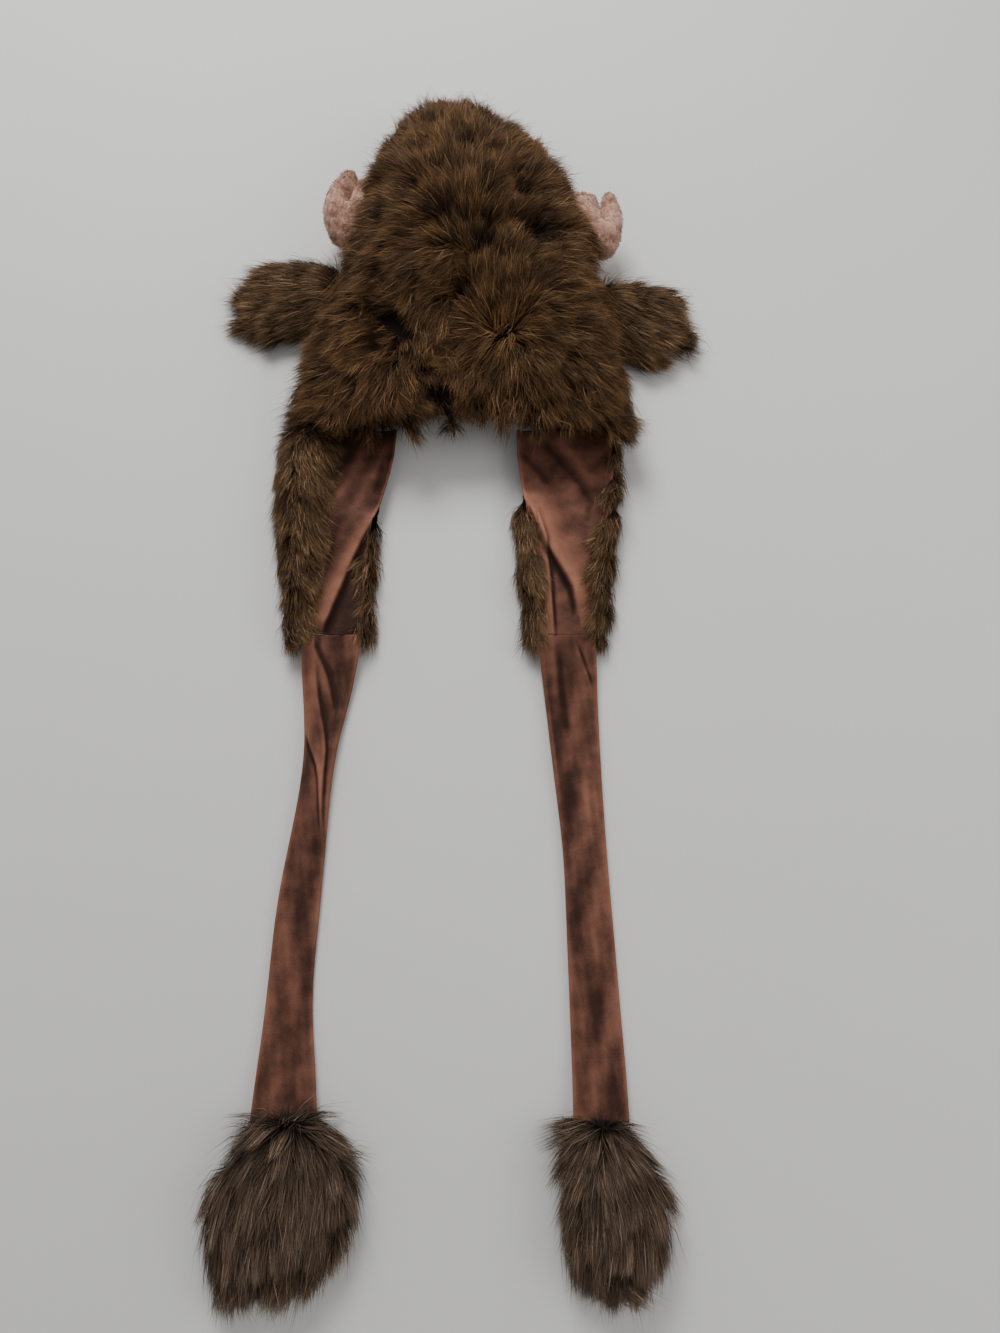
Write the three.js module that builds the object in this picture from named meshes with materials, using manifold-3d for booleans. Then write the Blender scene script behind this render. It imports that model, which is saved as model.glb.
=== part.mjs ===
// A horned and eared animal costume hood of deep faux fur, lying on its front.
// It has a hollow crown with a cloth lining, two ears, two stuffed horns, and two
// ear flaps with a velvet inner side. A velvet strap runs from each flap to a fur paw.
// Millimetres, +Z up. The floor is z = 0, the top of the crown points to +Y, and the
// origin is under the middle of the crown.
import * as THREE from "three";
import { mergeVertices } from "three/addons/utils/BufferGeometryUtils.js";
import Module from "manifold-3d";

const wasm = await Module();
wasm.setup();

// Crown
const crownLength = 318; // from the nape's hem to the top, under the tips of the fur
const crownWidth = 280; // at its widest, near the hem
const crownHeight = 96; // lying down, at its highest
const napeWall = 16; // fur and backing, on the upper side
const sideWall = 20; // the same at the two sides
const restWall = 10; // the same on the underside, where the fur is pressed flat
const foreheadRecess = 62; // how far the hem of the underside steps back over the forehead
const foreheadHalfWidth = 58;
const liningWall = 2; // cloth inside the crown

// Flaps
const flapLength = 181; // from the crown's lower hem to the seam with the strap
const flapWidth = 110; // fur edge to fur edge
const flapPad = 10; // fur pressed under the velvet
const flapRim = 34; // the height of the fur where an edge rolls over
const flapLean = 3; // how far the fur's edge leans over the velvet
const velvetWall = 2;
const velvetFold = 7; // the height of the deepest fold in the velvet
const velvetLip = { width: 3.4, slope: 1.4 }; // where the velvet turns up at its sides

// Straps
const strapLength = 340; // from the flap's seam to the paw
const strapWidth = 47;
const strapThickness = 9;
const strapTuck = 12; // how far the strap runs into the paw's fur
const creaseHalf = 2.4; // half the width of the strap's long crease

// Paws
const pawLength = 124;
const pawWidth = 112;
const pawHeight = 36;

// Ears
const earLength = 104; // from its root in the crown's wall to the end of its cloth
const earWidth = 84;
const earThickness = 26;

// Horns
const hornLength = 90; // along its middle line
const hornBaseRadius = 34;

// Tufts of fur
const tuftLength = 34;
const tuftWidth = 25;
const tuftThickness = 10;

const sewnGap = 0.4; // between pieces that are sewn together
const hemY = -crownLength / 2;
const halfWidth = crownWidth / 2;

// Cuts across the crown from its hem to its top. along is a share of crownLength, left and
// right are shares of half of crownWidth, and top is a share of crownHeight.
const crownSections = [
  { along: 0.0, left: -1.02, right: 0.99, top: 0.56 },
  { along: 0.07, left: -1.0, right: 0.98, top: 0.64 },
  { along: 0.16, left: -0.95, right: 0.93, top: 0.74 },
  { along: 0.26, left: -0.86, right: 0.86, top: 0.87 },
  { along: 0.37, left: -0.75, right: 0.8, top: 0.95 },
  { along: 0.48, left: -0.67, right: 0.745, top: 0.99 },
  { along: 0.59, left: -0.62, right: 0.68, top: 1.0 },
  { along: 0.69, left: -0.58, right: 0.6, top: 0.96 },
  { along: 0.79, left: -0.53, right: 0.46, top: 0.85 },
  { along: 0.88, left: -0.45, right: 0.3, top: 0.7 },
  { along: 0.95, left: -0.34, right: 0.11, top: 0.52 },
  { along: 0.985, left: -0.24, right: -0.03, top: 0.4 },
];
const crownPole = { across: -0.14, up: 0.45, out: 4 }; // where the top closes

// Dents in the upper side, as the empty hood sinks in, and swellings, whose depth is negative.
// across and reach are shares of half of crownWidth, along is a share of crownLength from the
// origin, and depth is a share of crownHeight.
const crownDents = [
  { name: "left hollow", across: -0.33, along: -0.24, reach: 0.17, depth: 0.19 },
  { name: "valley, upper end", across: 0.16, along: -0.15, reach: 0.13, depth: 0.08 },
  { name: "valley, middle", across: 0.04, along: -0.28, reach: 0.15, depth: 0.13 },
  { name: "valley, at the hem", across: 0.02, along: -0.47, reach: 0.2, depth: 0.1 },
  { name: "right swelling", across: 0.5, along: -0.34, reach: 0.38, depth: -0.13 },
  { name: "left swelling", across: -0.62, along: -0.42, reach: 0.3, depth: -0.08 },
];

// The fur of the crown fans out from these points. across is a share of half of crownWidth,
// along a share of crownLength, and fall is how much the fur also falls towards the hem.
const crownWhorls = [
  { across: 0.02, along: 0.06, fall: 0.0 },
  { across: 0.34, along: -0.17, fall: 0.7 },
  { across: -0.3, along: -0.36, fall: 0.8 },
];

// Cuts along each flap. along is a share of flapLength. outer, inner, seatOut and seatIn
// are shares of flapWidth from the flap's own line: the fur's edges, and the edges of the
// velvet between them. rollOut and rollIn are shares of flapRim.
const flapSections = {
  left: [
    { along: 0.0, outer: -0.46, inner: 0.5, seatOut: -0.02, seatIn: 0.47, rollOut: 0.95, rollIn: 0.42 },
    { along: 0.12, outer: -0.46, inner: 0.49, seatOut: -0.03, seatIn: 0.46, rollOut: 1.05, rollIn: 0.42 },
    { along: 0.32, outer: -0.44, inner: 0.44, seatOut: -0.08, seatIn: 0.39, rollOut: 1.05, rollIn: 0.45 },
    { along: 0.55, outer: -0.4, inner: 0.39, seatOut: -0.1, seatIn: 0.29, rollOut: 1.0, rollIn: 0.55 },
    { along: 0.78, outer: -0.36, inner: 0.38, seatOut: -0.13, seatIn: 0.27, rollOut: 0.88, rollIn: 0.6 },
    { along: 1.0, outer: -0.27, inner: 0.35, seatOut: -0.15, seatIn: 0.27, rollOut: 0.6, rollIn: 0.5 },
  ],
  right: [
    { along: 0.0, outer: 0.47, inner: -0.4, seatOut: 0.34, seatIn: -0.36, rollOut: 0.75, rollIn: 0.45 },
    { along: 0.12, outer: 0.47, inner: -0.4, seatOut: 0.36, seatIn: -0.36, rollOut: 0.75, rollIn: 0.45 },
    { along: 0.32, outer: 0.43, inner: -0.41, seatOut: 0.35, seatIn: -0.32, rollOut: 0.68, rollIn: 0.52 },
    { along: 0.55, outer: 0.37, inner: -0.4, seatOut: 0.26, seatIn: -0.27, rollOut: 0.62, rollIn: 0.6 },
    { along: 0.78, outer: 0.32, inner: -0.36, seatOut: 0.23, seatIn: -0.24, rollOut: 0.6, rollIn: 0.6 },
    { along: 1.0, outer: 0.28, inner: -0.3, seatOut: 0.19, seatIn: -0.23, rollOut: 0.5, rollIn: 0.5 },
  ],
};

// Each flap's own line at the crown, as a share of half of crownWidth.
const flapLine = { left: -0.77, right: 0.6 };

// Folds that run over each flap's velvet. from and to are points: across is a share of
// flapWidth from the flap's line and along is a share of flapLength. spread is a share of
// flapWidth and height a share of velvetFold.
const velvetFolds = {
  left: [
    { from: [0.4, 0.0], to: [-0.1, 0.78], spread: 0.07, height: 1.0 },
    { from: [0.28, 0.5], to: [0.02, 1.0], spread: 0.06, height: 0.8 },
    { from: [0.42, 0.1], to: [0.3, 0.45], spread: 0.05, height: 0.7 },
  ],
  right: [
    { from: [-0.3, 0.12], to: [0.2, 0.5], spread: 0.07, height: 0.9 },
    { from: [-0.2, 0.45], to: [0.08, 1.0], spread: 0.06, height: 0.8 },
    { from: [0.3, 0.05], to: [0.26, 0.5], spread: 0.06, height: 0.7 },
    { from: [-0.26, 0.5], to: [-0.14, 1.0], spread: 0.05, height: 0.7 },
  ],
};

// Cuts along each strap, from the flap's seam. along and sideways are shares of strapLength,
// width is a share of strapWidth, thick a share of strapThickness, lift the height of the
// underside as a share of strapThickness, and crease where its long fold lies, as a share of
// its own half width.
const strapSections = {
  left: [
    { along: 0.0, sideways: 0.0, width: 0.97, thick: 0.6, lift: 1.35, crease: -0.35 },
    { along: 0.06, sideways: -0.007, width: 0.95, thick: 0.85, lift: 0.75, crease: -0.2 },
    { along: 0.15, sideways: -0.012, width: 0.77, thick: 1.1, lift: 0.0, crease: 0.0 },
    { along: 0.26, sideways: -0.019, width: 0.54, thick: 1.35, lift: 0.0, crease: 0.3 },
    { along: 0.38, sideways: -0.029, width: 0.52, thick: 1.25, lift: 0.0, crease: 0.5 },
    { along: 0.49, sideways: -0.04, width: 0.61, thick: 1.0, lift: 0.0, crease: 0.6 },
    { along: 0.6, sideways: -0.05, width: 0.68, thick: 0.85, lift: 0.0, crease: 0.2 },
    { along: 0.8, sideways: -0.059, width: 0.71, thick: 0.8, lift: 0.0, crease: -0.2 },
    { along: 0.91, sideways: -0.057, width: 0.84, thick: 0.8, lift: 0.15, crease: -0.1 },
    { along: 1.0, sideways: -0.054, width: 1.0, thick: 0.85, lift: 0.5, crease: 0.0 },
  ],
  right: [
    { along: 0.0, sideways: 0.0, width: 0.98, thick: 0.6, lift: 1.35, crease: -0.4 },
    { along: 0.06, sideways: 0.005, width: 0.95, thick: 0.9, lift: 0.75, crease: -0.35 },
    { along: 0.15, sideways: 0.011, width: 0.88, thick: 1.1, lift: 0.0, crease: -0.2 },
    { along: 0.28, sideways: 0.019, width: 0.8, thick: 1.1, lift: 0.0, crease: 0.0 },
    { along: 0.39, sideways: 0.027, width: 0.74, thick: 1.0, lift: 0.0, crease: 0.25 },
    { along: 0.49, sideways: 0.034, width: 0.7, thick: 1.0, lift: 0.0, crease: 0.3 },
    { along: 0.7, sideways: 0.043, width: 0.745, thick: 0.85, lift: 0.0, crease: 0.1 },
    { along: 0.88, sideways: 0.05, width: 0.79, thick: 0.8, lift: 0.1, crease: 0.1 },
    { along: 1.0, sideways: 0.054, width: 0.83, thick: 0.85, lift: 0.5, crease: 0.0 },
  ],
};

// Cuts along each paw, from the strap. along is a share of pawLength, left and right are
// shares of pawWidth from the strap's end, and top is a share of pawHeight.
const pawSections = {
  left: [
    { along: 0.0, left: -0.24, right: 0.3, top: 0.62 },
    { along: 0.12, left: -0.29, right: 0.4, top: 0.9 },
    { along: 0.3, left: -0.36, right: 0.47, top: 1.0 },
    { along: 0.48, left: -0.42, right: 0.5, top: 1.0 },
    { along: 0.63, left: -0.48, right: 0.48, top: 0.96 },
    { along: 0.77, left: -0.44, right: 0.4, top: 0.86 },
    { along: 0.92, left: -0.3, right: 0.29, top: 0.6 },
    { along: 1.0, left: -0.16, right: 0.14, top: 0.36 },
  ],
  right: [
    { along: 0.0, left: -0.2, right: 0.2, top: 0.62 },
    { along: 0.12, left: -0.25, right: 0.27, top: 0.88 },
    { along: 0.35, left: -0.25, right: 0.33, top: 1.0 },
    { along: 0.6, left: -0.25, right: 0.38, top: 1.0 },
    { along: 0.77, left: -0.25, right: 0.39, top: 0.9 },
    { along: 0.93, left: -0.25, right: 0.24, top: 0.66 },
    { along: 1.0, left: -0.2, right: 0.06, top: 0.4 },
  ],
};

// Cuts along an ear, from its root. along is a share of earLength, wide of earWidth, thick and
// lift, the height of its middle, of earThickness.
const earSections = [
  { along: 0.0, wide: 0.66, thick: 0.6, lift: 1.2 },
  { along: 0.15, wide: 0.8, thick: 0.8, lift: 1.0 },
  { along: 0.35, wide: 0.94, thick: 1.0, lift: 0.6 },
  { along: 0.55, wide: 1.0, thick: 1.0, lift: 0.5 },
  { along: 0.75, wide: 0.96, thick: 0.92, lift: 0.46 },
  { along: 0.9, wide: 0.78, thick: 0.76, lift: 0.38 },
  { along: 1.0, wide: 0.5, thick: 0.5, lift: 0.28 },
];

// Where each ear leaves the crown, as shares of half of crownWidth and of crownLength, the way
// that it points, in degrees from +X, and its own length as a share of earLength.
const earPlaces = {
  left: { across: -0.66, along: -0.09, turn: 183, reach: 1.0 },
  right: { across: 0.72, along: -0.125, turn: -17, reach: 0.88 },
};

// Cuts along each horn, from its root in the crown's side, round its curl to its tip. out and
// towards place the middle, as shares of hornLength from the root, radius and thick are shares
// of hornBaseRadius, in the plane of the curl and across it, and facing is the way from the
// curl's inner side to its outer side, in degrees from the way out.
const hornSections = {
  left: [
    { out: 0.0, towards: 0.0, radius: 0.985, thick: 0.556, facing: -90 },
    { out: 0.113, towards: -0.017, radius: 0.97, thick: 0.556, facing: -91 },
    { out: 0.183, towards: -0.139, radius: 0.706, thick: 0.53, facing: -79 },
    { out: 0.264, towards: -0.111, radius: 0.568, thick: 0.47, facing: -65 },
    { out: 0.306, towards: -0.02, radius: 0.42, thick: 0.4, facing: -43 },
    { out: 0.31, towards: 0.086, radius: 0.376, thick: 0.35, facing: -15 },
    { out: 0.284, towards: 0.206, radius: 0.365, thick: 0.32, facing: 5 },
    { out: 0.247, towards: 0.322, radius: 0.306, thick: 0.27, facing: 8 },
    { out: 0.2, towards: 0.433, radius: 0.215, thick: 0.2, facing: 16 },
    { out: 0.187, towards: 0.494, radius: 0.115, thick: 0.11, facing: 15 },
  ],
  right: [
    { out: 0.0, towards: 0.0, radius: 0.765, thick: 0.556, facing: -92 },
    { out: 0.117, towards: -0.033, radius: 0.859, thick: 0.556, facing: -97 },
    { out: 0.197, towards: -0.078, radius: 0.806, thick: 0.55, facing: -100 },
    { out: 0.244, towards: -0.139, radius: 0.694, thick: 0.52, facing: -95 },
    { out: 0.288, towards: -0.189, radius: 0.562, thick: 0.48, facing: -84 },
    { out: 0.336, towards: -0.211, radius: 0.467, thick: 0.43, facing: -71 },
    { out: 0.372, towards: -0.144, radius: 0.368, thick: 0.36, facing: -53 },
    { out: 0.392, towards: -0.037, radius: 0.288, thick: 0.3, facing: -20 },
    { out: 0.388, towards: 0.114, radius: 0.249, thick: 0.26, facing: -9 },
    { out: 0.369, towards: 0.25, radius: 0.2, thick: 0.2, facing: 4 },
    { out: 0.361, towards: 0.324, radius: 0.088, thick: 0.09, facing: 0 },
  ],
};

// Where each horn is sewn on, as shares of half of crownWidth, crownLength and crownHeight.
const hornPlaces = {
  left: { across: -0.6, along: 0.121, up: 0.4 },
  right: { across: 0.657, along: 0.0975, up: 0.4 },
};

// Colours
const furBrown = 0x4a3423;
const velvetBrown = 0x7a4a38;
const hornTan = 0xa07c68;
const liningBrown = 0x5c3a2b;

const mix = THREE.MathUtils.lerp;
const radians = THREE.MathUtils.degToRad;

// The value of one column of a table at a place along it, on a smooth curve through the rows.
function columnAt(rows, column, along) {
  const places = rows.map((row) => row.along);
  const values = rows.map((row) => row[column]);
  const curve = new THREE.CubicInterpolant(places, values, 1, new Float64Array(1));
  const inside = THREE.MathUtils.clamp(along, places[0], places[places.length - 1]);
  return curve.evaluate(inside)[0];
}

// A closed skin over rings of as many points each. A ring with one point closes that end,
// and any other end ring is closed by a fan from its middle.
function skinOver(rings) {
  const points = [];
  const starts = [];
  const faces = [];
  for (const ring of rings) {
    starts.push(points.length);
    points.push(...ring);
  }
  for (let i = 0; i + 1 < rings.length; i++) {
    const [a, b] = [starts[i], starts[i + 1]];
    const [na, nb] = [rings[i].length, rings[i + 1].length];
    const around = Math.max(na, nb);
    for (let j = 0; j < around; j++) {
      const k = (j + 1) % around;
      if (na > 1) faces.push(a + j, a + k, nb > 1 ? b + k : b);
      if (nb > 1) faces.push(a + (na > 1 ? j : 0), b + k, b + j);
    }
  }
  const closeEnd = (index, turned) => {
    const ring = rings[index];
    if (ring.length === 1) return;
    const middle = points.length;
    const centre = new THREE.Vector3();
    for (const point of ring) centre.addScaledVector(point, 1 / ring.length);
    points.push(centre);
    for (let j = 0; j < ring.length; j++) {
      const k = (j + 1) % ring.length;
      const [p, q] = [starts[index] + j, starts[index] + k];
      faces.push(...(turned ? [middle, p, q] : [middle, q, p]));
    }
  };
  closeEnd(0, false);
  closeEnd(rings.length - 1, true);
  const geometry = new THREE.BufferGeometry();
  geometry.setAttribute(
    "position",
    new THREE.Float32BufferAttribute(points.flatMap((p) => p.toArray()), 3),
  );
  geometry.setIndex(faces);
  return geometry;
}

// A geometry as a solid to join and cut, facing out whichever way its rings ran.
function solidOf(geometry) {
  const bare = new THREE.BufferGeometry();
  bare.setAttribute("position", geometry.getAttribute("position"));
  bare.setIndex(geometry.getIndex());
  const merged = mergeVertices(bare, 1e-4);
  const vertProperties = new Float32Array(merged.getAttribute("position").array);
  const triVerts = new Uint32Array(merged.getIndex().array);
  const solid = new wasm.Manifold(new wasm.Mesh({ numProp: 3, vertProperties, triVerts }));
  if (solid.volume() > 0) return solid;
  for (let i = 0; i < triVerts.length; i += 3) {
    [triVerts[i + 1], triVerts[i + 2]] = [triVerts[i + 2], triVerts[i + 1]];
  }
  return new wasm.Manifold(new wasm.Mesh({ numProp: 3, vertProperties, triVerts }));
}

// The largest body of a solid. A cut can leave crumbs of a tuft behind, which are dropped.
function mainBody(solid) {
  const bodies = solid.decompose();
  return bodies.reduce((best, body) => (body.volume() > best.volume() ? body : best));
}

// A solid as a named, coloured mesh.
function meshOf(solid, name, color, roughness = 0.9) {
  const data = solid.getMesh();
  const geometry = new THREE.BufferGeometry();
  geometry.setAttribute("position", new THREE.Float32BufferAttribute(data.vertProperties, 3));
  geometry.setIndex(Array.from(data.triVerts));
  geometry.computeVertexNormals();
  const material = new THREE.MeshStandardMaterial({ color, roughness, metalness: 0 });
  const mesh = new THREE.Mesh(geometry, material);
  mesh.name = name;
  return mesh;
}

// A pointed lock of fur: it leaves its root, swells, and runs along a direction close to the
// surface. Its section is a diamond. grow adds a clearance on every side.
const tuftSides = 4;
function tuft(root, along, out, size = 1, grow = 0) {
  const side = new THREE.Vector3().crossVectors(along, out).normalize();
  const up = new THREE.Vector3().crossVectors(side, along).normalize();
  const middleAt = (at, lift) =>
    root
      .clone()
      .addScaledVector(along, at * tuftLength * size)
      .addScaledVector(up, lift * tuftThickness * size);
  const stations = [
    { at: -0.1, lift: -0.75, wide: 0.8 },
    { at: 0.48, lift: 0.22, wide: 1.0 },
  ];
  const rings = stations.map(({ at, lift, wide }) => {
    const middle = middleAt(at, lift);
    return Array.from({ length: tuftSides }, (_, j) => {
      const angle = (2 * Math.PI * j) / tuftSides;
      const across = Math.cos(angle) * ((wide * tuftWidth * size) / 2 + 2 * grow);
      const over = Math.sin(angle) * ((wide * tuftThickness * size) / 2 + 2 * grow);
      return middle.clone().addScaledVector(side, across).addScaledVector(up, over);
    });
  });
  const tip = middleAt(1, -0.15).addScaledVector(along, 4 * grow);
  return solidOf(skinOver([...rings, [tip]]));
}

// Joins tufts to a body, and keeps them above the floor.
function furred(body, tufts) {
  const joined = wasm.Manifold.union([body, ...tufts]);
  return joined.trimByPlane([0, 0, 1], 0);
}

// Crown

function dentAt(x, y) {
  let down = 0;
  for (const dent of crownDents) {
    const dx = x - dent.across * halfWidth;
    const dy = y - dent.along * crownLength;
    const reach = dent.reach * halfWidth;
    down += dent.depth * crownHeight * Math.exp(-(dx * dx + dy * dy) / (reach * reach));
  }
  return down;
}

// How far the hem is drawn back at a place round it. Over the forehead it forms an arch.
function hemStep(x, turn) {
  const below = Math.max(0, -Math.sin(turn));
  const arch = Math.exp(-((x / foreheadHalfWidth) ** 4));
  return Math.min(1, below * 2) * foreheadRecess * arch;
}

// A point of the crown's skin: share runs from the hem to the top, turn goes round from +X
// over the upper side, and inset is how deep under the fur it lies: a share from 0, the
// outside, to 1, the inside of the fur, plus a distance in millimetres.
const equator = 0.4; // the height of the widest place, as a share of the height
const domeAcross = 0.9; // powers under 1 make the cut squarer than an ellipse
const domeUp = 0.85;
const floorUp = 0.8;
const flatBelow = 1.22; // over 1, so that the underside is flat where it rests
const insideDent = 0.5; // how much of a dent in the fur shows inside
function crownPoint(share, turn, inset, extra = 0) {
  const sideInset = inset * sideWall + extra;
  const topInset = inset * napeWall + extra;
  const lowInset = inset * restWall + extra;
  const place = (along) => {
    const left = columnAt(crownSections, "left", along) * halfWidth + sideInset;
    const right = columnAt(crownSections, "right", along) * halfWidth - sideInset;
    return [(left + right) / 2, (right - left) / 2];
  };
  const c = Math.cos(turn);
  const s = Math.sin(turn);
  const [hemMiddle, hemHalf] = place(0);
  const start = hemStep(hemMiddle + hemHalf * c, turn) / crownLength;
  const last = crownSections[crownSections.length - 1].along - (inset * topInset) / crownLength;
  const along = mix(start, last, share);
  const [middle, half] = place(along);
  const x = middle + half * Math.sign(c) * Math.abs(c) ** domeAcross;
  const y = hemY + along * crownLength;
  const top = columnAt(crownSections, "top", along) * crownHeight - topInset;
  const waist = mix(lowInset, top, equator);
  const z =
    s >= 0
      ? waist + (top - waist) * s ** domeUp - dentAt(x, y) * s * mix(1, insideDent, inset)
      : waist - (waist - lowInset) * Math.min(1, flatBelow * Math.abs(s) ** floorUp);
  return new THREE.Vector3(x, y, z);
}

const crownAround = 24;
function crownRing(share, inset, extra) {
  return Array.from({ length: crownAround }, (_, j) =>
    crownPoint(share, (2 * Math.PI * j) / crownAround, inset, extra),
  );
}

// The crown as one solid down to a depth. reachOut carries its hem on past the crown's own, for
// a cut.
const furRows = 11;
const clothRows = 9;
function crownSolid(inset, extra = 0, reachOut = 0) {
  const rows = inset ? clothRows : furRows;
  const rings = Array.from({ length: rows }, (_, i) => crownRing(i / (rows - 1), inset, extra));
  if (reachOut) rings.unshift(rings[0].map((p) => new THREE.Vector3(p.x, p.y - reachOut, p.z)));
  const last = rings[rings.length - 1];
  const heights = last.map((p) => p.z);
  const up = mix(Math.min(...heights), Math.max(...heights), crownPole.up);
  const across = crownPole.across * halfWidth;
  return solidOf(skinOver([...rings, [new THREE.Vector3(across, last[0].y + crownPole.out, up)]]));
}

// Which way the fur lies at a place on the crown. A whorl's pull fades with distance.
const whorlReach = 17;
function crownComb(x, y) {
  const way = new THREE.Vector2();
  for (const whorl of crownWhorls) {
    const away = new THREE.Vector2(x - whorl.across * halfWidth, y - whorl.along * crownLength);
    const distance = Math.max(away.length(), 1);
    const pull = 1 / (distance ** 2 + whorlReach ** 2);
    away.divideScalar(distance);
    way.addScaledVector(away.add(new THREE.Vector2(0, -whorl.fall)), pull);
  }
  return way.normalize();
}

// Rows of locks over the upper side: how far along the crown, how many, their size, and how
// much more they fall towards the hem.
const crownTuftRows = [
  { share: 0.015, count: 11, size: 1.0, fall: 2.5 },
  { share: 0.13, count: 9, size: 1.0, fall: 0.3 },
  { share: 0.26, count: 8, size: 1.0, fall: 0 },
  { share: 0.39, count: 8, size: 1.0, fall: 0 },
  { share: 0.52, count: 7, size: 1.0, fall: 0 },
  { share: 0.65, count: 6, size: 1.0, fall: 0 },
  { share: 0.78, count: 6, size: 1.0, fall: 0 },
  { share: 0.9, count: 5, size: 0.9, fall: 0 },
];
const step = 0.02; // a small step over the skin, to find which way it faces
const evenSpread = 0.6; // how evenly the locks are spread from side to side, not by angle
function crownTufts() {
  return crownTuftRows.flatMap(({ share, count, size, fall }, row) =>
    Array.from({ length: count }, (_, j) => {
      const spot = (j + (row % 2 ? 0.35 : 0.65)) / count;
      const turn = mix(Math.PI * spot, Math.acos(1 - 2 * spot), evenSpread);
      const root = crownPoint(share, turn, 0);
      const nextRound = crownPoint(share, turn + step, 0).sub(root);
      const nextAlong = crownPoint(share + step, turn, 0).sub(root);
      const out = new THREE.Vector3().crossVectors(nextAlong, nextRound).normalize();
      if (out.z * Math.sin(turn) + out.x * Math.cos(turn) < 0) out.negate();
      const way = crownComb(root.x, root.y);
      const along = new THREE.Vector3(way.x, way.y - fall, 0).normalize();
      along.addScaledVector(out, -along.dot(out)).normalize();
      return tuft(root, along, out, size);
    }),
  );
}

// Flaps

function flapFrame(side, along, grow = 0) {
  const rows = flapSections[side];
  const line = flapLine[side] * halfWidth;
  const at = (column) => line + columnAt(rows, column, along) * flapWidth;
  const edges = [at("outer"), at("inner")];
  const seats = [at("seatOut"), at("seatIn")];
  const rolls = ["rollOut", "rollIn"].map((c) => columnAt(rows, c, along) * flapRim);
  if (edges[0] > edges[1]) for (const pair of [edges, seats, rolls]) pair.reverse();
  return {
    y: hemY - sewnGap - along * flapLength,
    left: edges[0] - grow,
    right: edges[1] + grow,
    seatLeft: seats[0],
    seatRight: seats[1],
    leftRoll: rolls[0] + grow,
    rightRoll: rolls[1] + grow,
  };
}

// Shares of the cut's width or height: how far the underside draws in, how high the widest place
// is, where the roll's crest is between the velvet and the edge, and how high the lean starts.
const flapShape = { tuck: 0.1, widest: 0.5, crest: 0.5, lean: 0.4 };
const flapRows = 7;
function flapBody(side, grow = 0) {
  const rings = [];
  for (let i = 0; i < flapRows; i++) {
    const share = i / (flapRows - 1);
    const f = flapFrame(side, share, grow);
    const tuck = (f.right - f.left) * flapShape.tuck;
    const ends = i === 0 ? grow : i === flapRows - 1 ? -grow : 0;
    const seat = flapPad + grow;
    const ring = [
      [f.left + tuck, -grow],
      [f.right - tuck, -grow],
      [f.right, f.rightRoll * flapShape.widest],
      [mix(f.seatRight, f.right, flapShape.crest), f.rightRoll],
      [f.seatRight, mix(seat, f.rightRoll, flapShape.lean)],
      [f.seatRight - flapLean, seat],
      [f.seatLeft + flapLean, seat],
      [f.seatLeft, mix(seat, f.leftRoll, flapShape.lean)],
      [mix(f.seatLeft, f.left, flapShape.crest), f.leftRoll],
      [f.left, f.leftRoll * flapShape.widest],
    ];
    rings.push(ring.map(([x, z]) => new THREE.Vector3(x, f.y + ends, z)));
  }
  return solidOf(skinOver(rings));
}

// The height of the velvet's folds over its seat.
function foldAt(side, across, along) {
  let height = 0;
  for (const fold of velvetFolds[side]) {
    const from = new THREE.Vector2(fold.from[0] * flapWidth, fold.from[1] * flapLength);
    const to = new THREE.Vector2(fold.to[0] * flapWidth, fold.to[1] * flapLength);
    const point = new THREE.Vector2(across, along);
    const run = to.clone().sub(from);
    const share = THREE.MathUtils.clamp(point.clone().sub(from).dot(run) / run.lengthSq(), 0, 1);
    const distance = point.distanceTo(from.addScaledVector(run, share));
    height += fold.height * velvetFold * Math.exp(-((distance / (fold.spread * flapWidth)) ** 2));
  }
  return height;
}

const velvetRows = 9;
const velvetColumns = 8;
function flapVelvet(side, grow = 0) {
  const line = flapLine[side] * halfWidth;
  const rings = [];
  for (let i = 0; i < velvetRows; i++) {
    const along = i / (velvetRows - 1);
    const f = flapFrame(side, along);
    const ends = i === 0 ? grow : i === velvetRows - 1 ? -grow : 0;
    const [left, right] = [f.seatLeft + sewnGap - grow, f.seatRight - sewnGap + grow];
    const under = [];
    const over = [];
    for (let j = 0; j < velvetColumns; j++) {
      const x = mix(left, right, j / (velvetColumns - 1));
      const fold = foldAt(side, x - line, along * flapLength);
      const nearEdge = Math.min(x - left, right - x);
      const lip = Math.max(0, velvetLip.width - nearEdge) * velvetLip.slope;
      const z = flapPad + sewnGap + fold + lip;
      under.push(new THREE.Vector3(x, f.y + ends, z - grow));
      over.push(new THREE.Vector3(x, f.y + ends, z + velvetWall + grow));
    }
    rings.push([...under, ...over.reverse()]);
  }
  return solidOf(skinOver(rings));
}

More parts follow.
